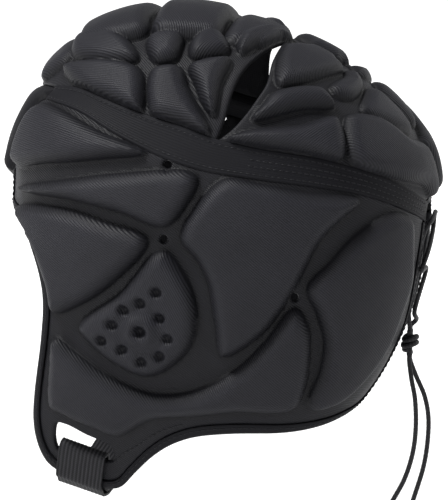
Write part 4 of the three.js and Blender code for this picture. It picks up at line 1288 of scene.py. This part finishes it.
binding_rings = np.vstack([binding_left[::-1], binding_left[1:] * (1, -1, 1)])
binding_mesh = loft(binding_rings)
new_piece("edge_binding_folded", *binding_mesh, [tape_finish], "binding", ["edge_binding"])
stitch_line = bound_line + (bound_inner - bound_line) * 0.72
stitches("binding_stitches", [chart_row(stitch_line, 3.36, 420)], "binding")

# Chin strap: 25 mm ribbed webbing, 1.4 mm thick, one loop up through each slot, down over
# the edge and across under the chin in two layers.
STRAP_WIDTH = 25
STRAP_THICK = 1.4
STRAP_SAG = 2.5
STRAP_RIBS = 12
slot_spot = drawn((82, 454.5))
edge_spot = drawn((79, 485.5))


def head_point(chart_spot, height=0.0):
    return lay([chart_spot], [height])[0][0]


slot_way = head_point(drawn((104, 463))) - head_point(drawn((62, 448)))
slot_way /= np.linalg.norm(slot_way)
strap_down = head_point(edge_spot) - head_point(slot_spot)
strap_down /= np.linalg.norm(strap_down)
strap_edge = head_point(edge_spot)


def on_tab(share, height):
    return head_point(slot_spot + (edge_spot - slot_spot) * share, height)


def past_edge(inward, down):
    return strap_edge + strap_down * down + np.array([0, inward, 0])


def under_chin(share, layer):
    return np.array([strap_edge[0] + strap_down[0] * 3, strap_edge[1] * share,
                     strap_edge[2] - 5 - STRAP_SAG * (1 - share * share)
                     - layer * (STRAP_THICK + 0.4)])


outer_run = [on_tab(0.02, 3.7), on_tab(0.2, 4.3), on_tab(0.6, 4.7), on_tab(0.93, 4.8),
             past_edge(-3.4, 2.2), past_edge(0.2, 5.6)]
inner_run = [on_tab(0.03, -1.7), on_tab(0.25, -2.6), on_tab(0.7, -2.7), past_edge(3, 0.4),
             past_edge(4.8, 3)]
left_run = [*[under_chin(share, 0) for share in (0.25, 0.55, 0.8)], *inner_run[::-1],
            on_tab(-0.03, 1.4), *outer_run, *[under_chin(share, 1) for share in (0.8, 0.55, 0.25)]]
right_run = [spot * (1, -1, 1) for spot in left_run[::-1]]
strap_path = spread(smooth_line([*left_run, *right_run], closed=True), 420, closed=True)
strap_ahead = np.roll(strap_path, -1, axis=0) - np.roll(strap_path, 1, axis=0)
strap_ahead /= np.linalg.norm(strap_ahead, axis=1)[:, None]
rib_share = np.linspace(-1, 1, STRAP_RIBS * 4 + 1)
rib_rise = 0.78 + 0.22 * np.abs(np.cos(np.linspace(0, STRAP_RIBS, STRAP_RIBS * 4 + 1) * math.pi))
strap_profile = [*zip(rib_share, rib_rise), *zip(rib_share[::-1], -rib_rise[::-1])]
strap_rings = []
for middle, ahead in zip(strap_path, strap_ahead):
    lean = max(-1, min(1, middle[1] / strap_edge[1]))
    wide = np.array([slot_way[0], slot_way[1] * lean, slot_way[2] * abs(lean)])
    wide /= np.linalg.norm(wide)
    thick = np.cross(wide, ahead)
    thick /= np.linalg.norm(thick)
    strap_rings.append([middle + wide * a * STRAP_WIDTH / 2 + thick * b * STRAP_THICK / 2
                        for a, b in strap_profile])


def webbing_weave(start):
    uv = start.node("UVMap", {"uv_map": "weave"})
    over = start.node("SeparateXYZ", {}, {"Vector": uv}, out=0)
    along = start.node("SeparateXYZ", {}, {"Vector": uv}, out=1)
    rib = start.math("COSINE", over * (math.tau * STRAP_RIBS / STRAP_WIDTH)) * 0.5 + 0.5
    pick = start.math("SINE", along * (math.tau / 1.1) + over * 0.9) * 0.5 + 0.5
    fuzz = grain(start, 1600, 2)
    bump = start.node("Bump", {}, {"Strength": 0.7, "Distance": 0.0004,
                                   "Height": rib * 0.6 + pick * 0.3 + fuzz * 0.2})
    share = (rib * 0.6 + pick * 0.2 + fuzz * 0.2).clamp()
    return {
        "Base Color": blend_colors(start, share, (0.003, 0.003, 0.004), (0.026, 0.026, 0.029)),
        "Roughness": 0.6,
        "Specular IOR Level": 0.14,
        "Sheen Weight": 0.01,
        "Normal": bump,
    }


webbing = finish_material("ribbed_webbing", webbing_weave)
new_piece("chin_strap_webbing", *loft(np.array(strap_rings), closed=True), [webbing], "webbing",
          ["chin_strap"])

# Back lace: the same braided cord, held all the way, crossing the gap between the bound
# rear edges, from the knot up one side and back down the other.
LACE_ROUTE = [(-35, 0.6, 7.2), (-32.5, -7, 5.4), (-24, 16, 5.2), (-20, -17, 5.2),
              (-16, -10, 5.2), (-12, 18, 5.2), (-9, 18.5, 5.2), (-7.4, 14, 5.2), (-7.4, -9, 5.0),
              (-8.4, -11.6, 4.0), (-12, -11.5, 1.8), (-18, -11.2, 1.8), (-24, -9, 1.8),
              (-30, -5.4, 1.8), (-33.5, -3, 2.4)]
KNOT_ANGLE = -40.5
KNOT_HEIGHT = 8.6
KNOT_LENGTH = 13
CORD_APART = 1.7
CORD_GAP = 0.3


def over_gap(angle, right, height):
    """Point at an angle about the ear, right of the midline, over the head."""
    spot = head_point(beside(angle, abs(right)), height)
    return spot * (1, -1, 1) if right > 0 else spot


knot_middle = over_gap(KNOT_ANGLE, 0, KNOT_HEIGHT)


def at_knot_top(side, above):
    return knot_middle + np.array([0, side * CORD_APART, KNOT_LENGTH / 2 + CORD_GAP + above])


lace_corners = [at_knot_top(1, 0), at_knot_top(1, 1.5), *[over_gap(*row) for row in LACE_ROUTE],
                at_knot_top(-1, 1.5), at_knot_top(-1, 0)]
lace_path = smooth_line(lace_corners)
lace_path = spread(lace_path, round(line_length(lace_path) / 0.5))
new_piece("back_lace_cord", *braided(lace_path), [lace_finish], "lace", ["back_lace"])

# Lace knot: one of the two cords wound two and a half turns round the other and drawn
# tight at the nape, above the free ends.
KNOT_TURNS = 2.5
knot_run = []
for step in range(121):
    share = step / 120
    angle = math.pi / 2 + share * KNOT_TURNS * math.tau
    ease = math.sin(min(share, 1 - share) * math.pi * 2.2) if min(share, 1 - share) < 0.227 else 1
    size = 0.45 + 0.55 * ease
    knot_run.append((math.cos(angle) * 3.4 * size, math.sin(angle) * 4.4 * size,
                     (0.5 - share) * 7.4 + 1.5 * math.cos(angle) * ease))
wrap = np.array([(0, CORD_APART, 6.5), (0, CORD_APART, 5.4), *knot_run[2:-2:6],
                 (0, CORD_APART, -5.4), (0, CORD_APART, -6.5)]) + knot_middle
core = np.array([(0, -CORD_APART, 6.5), (0, -CORD_APART, 5.4), (0.4, -CORD_APART, 4), (0, -0.8, 1.5), (0, -0.6, -1.5),
                 (0, -CORD_APART, -4.8), (0, -CORD_APART, -6.5)]) + knot_middle
knot_points = []
knot_faces = []
knot_uv = []
for line in (wrap, core):
    path = smooth_line(line)
    points, faces, corners = braided(spread(path, round(line_length(path) / 0.4)), 1.5)
    base = sum(len(part) for part in knot_points)
    knot_points.append(points)
    knot_faces += [[v + base for v in face] for face in faces]
    knot_uv.append(corners)
new_piece("lace_knot_tied", np.vstack(knot_points), knot_faces, np.vstack(knot_uv),
          [lace_finish], "lace", ["lace_knot"])
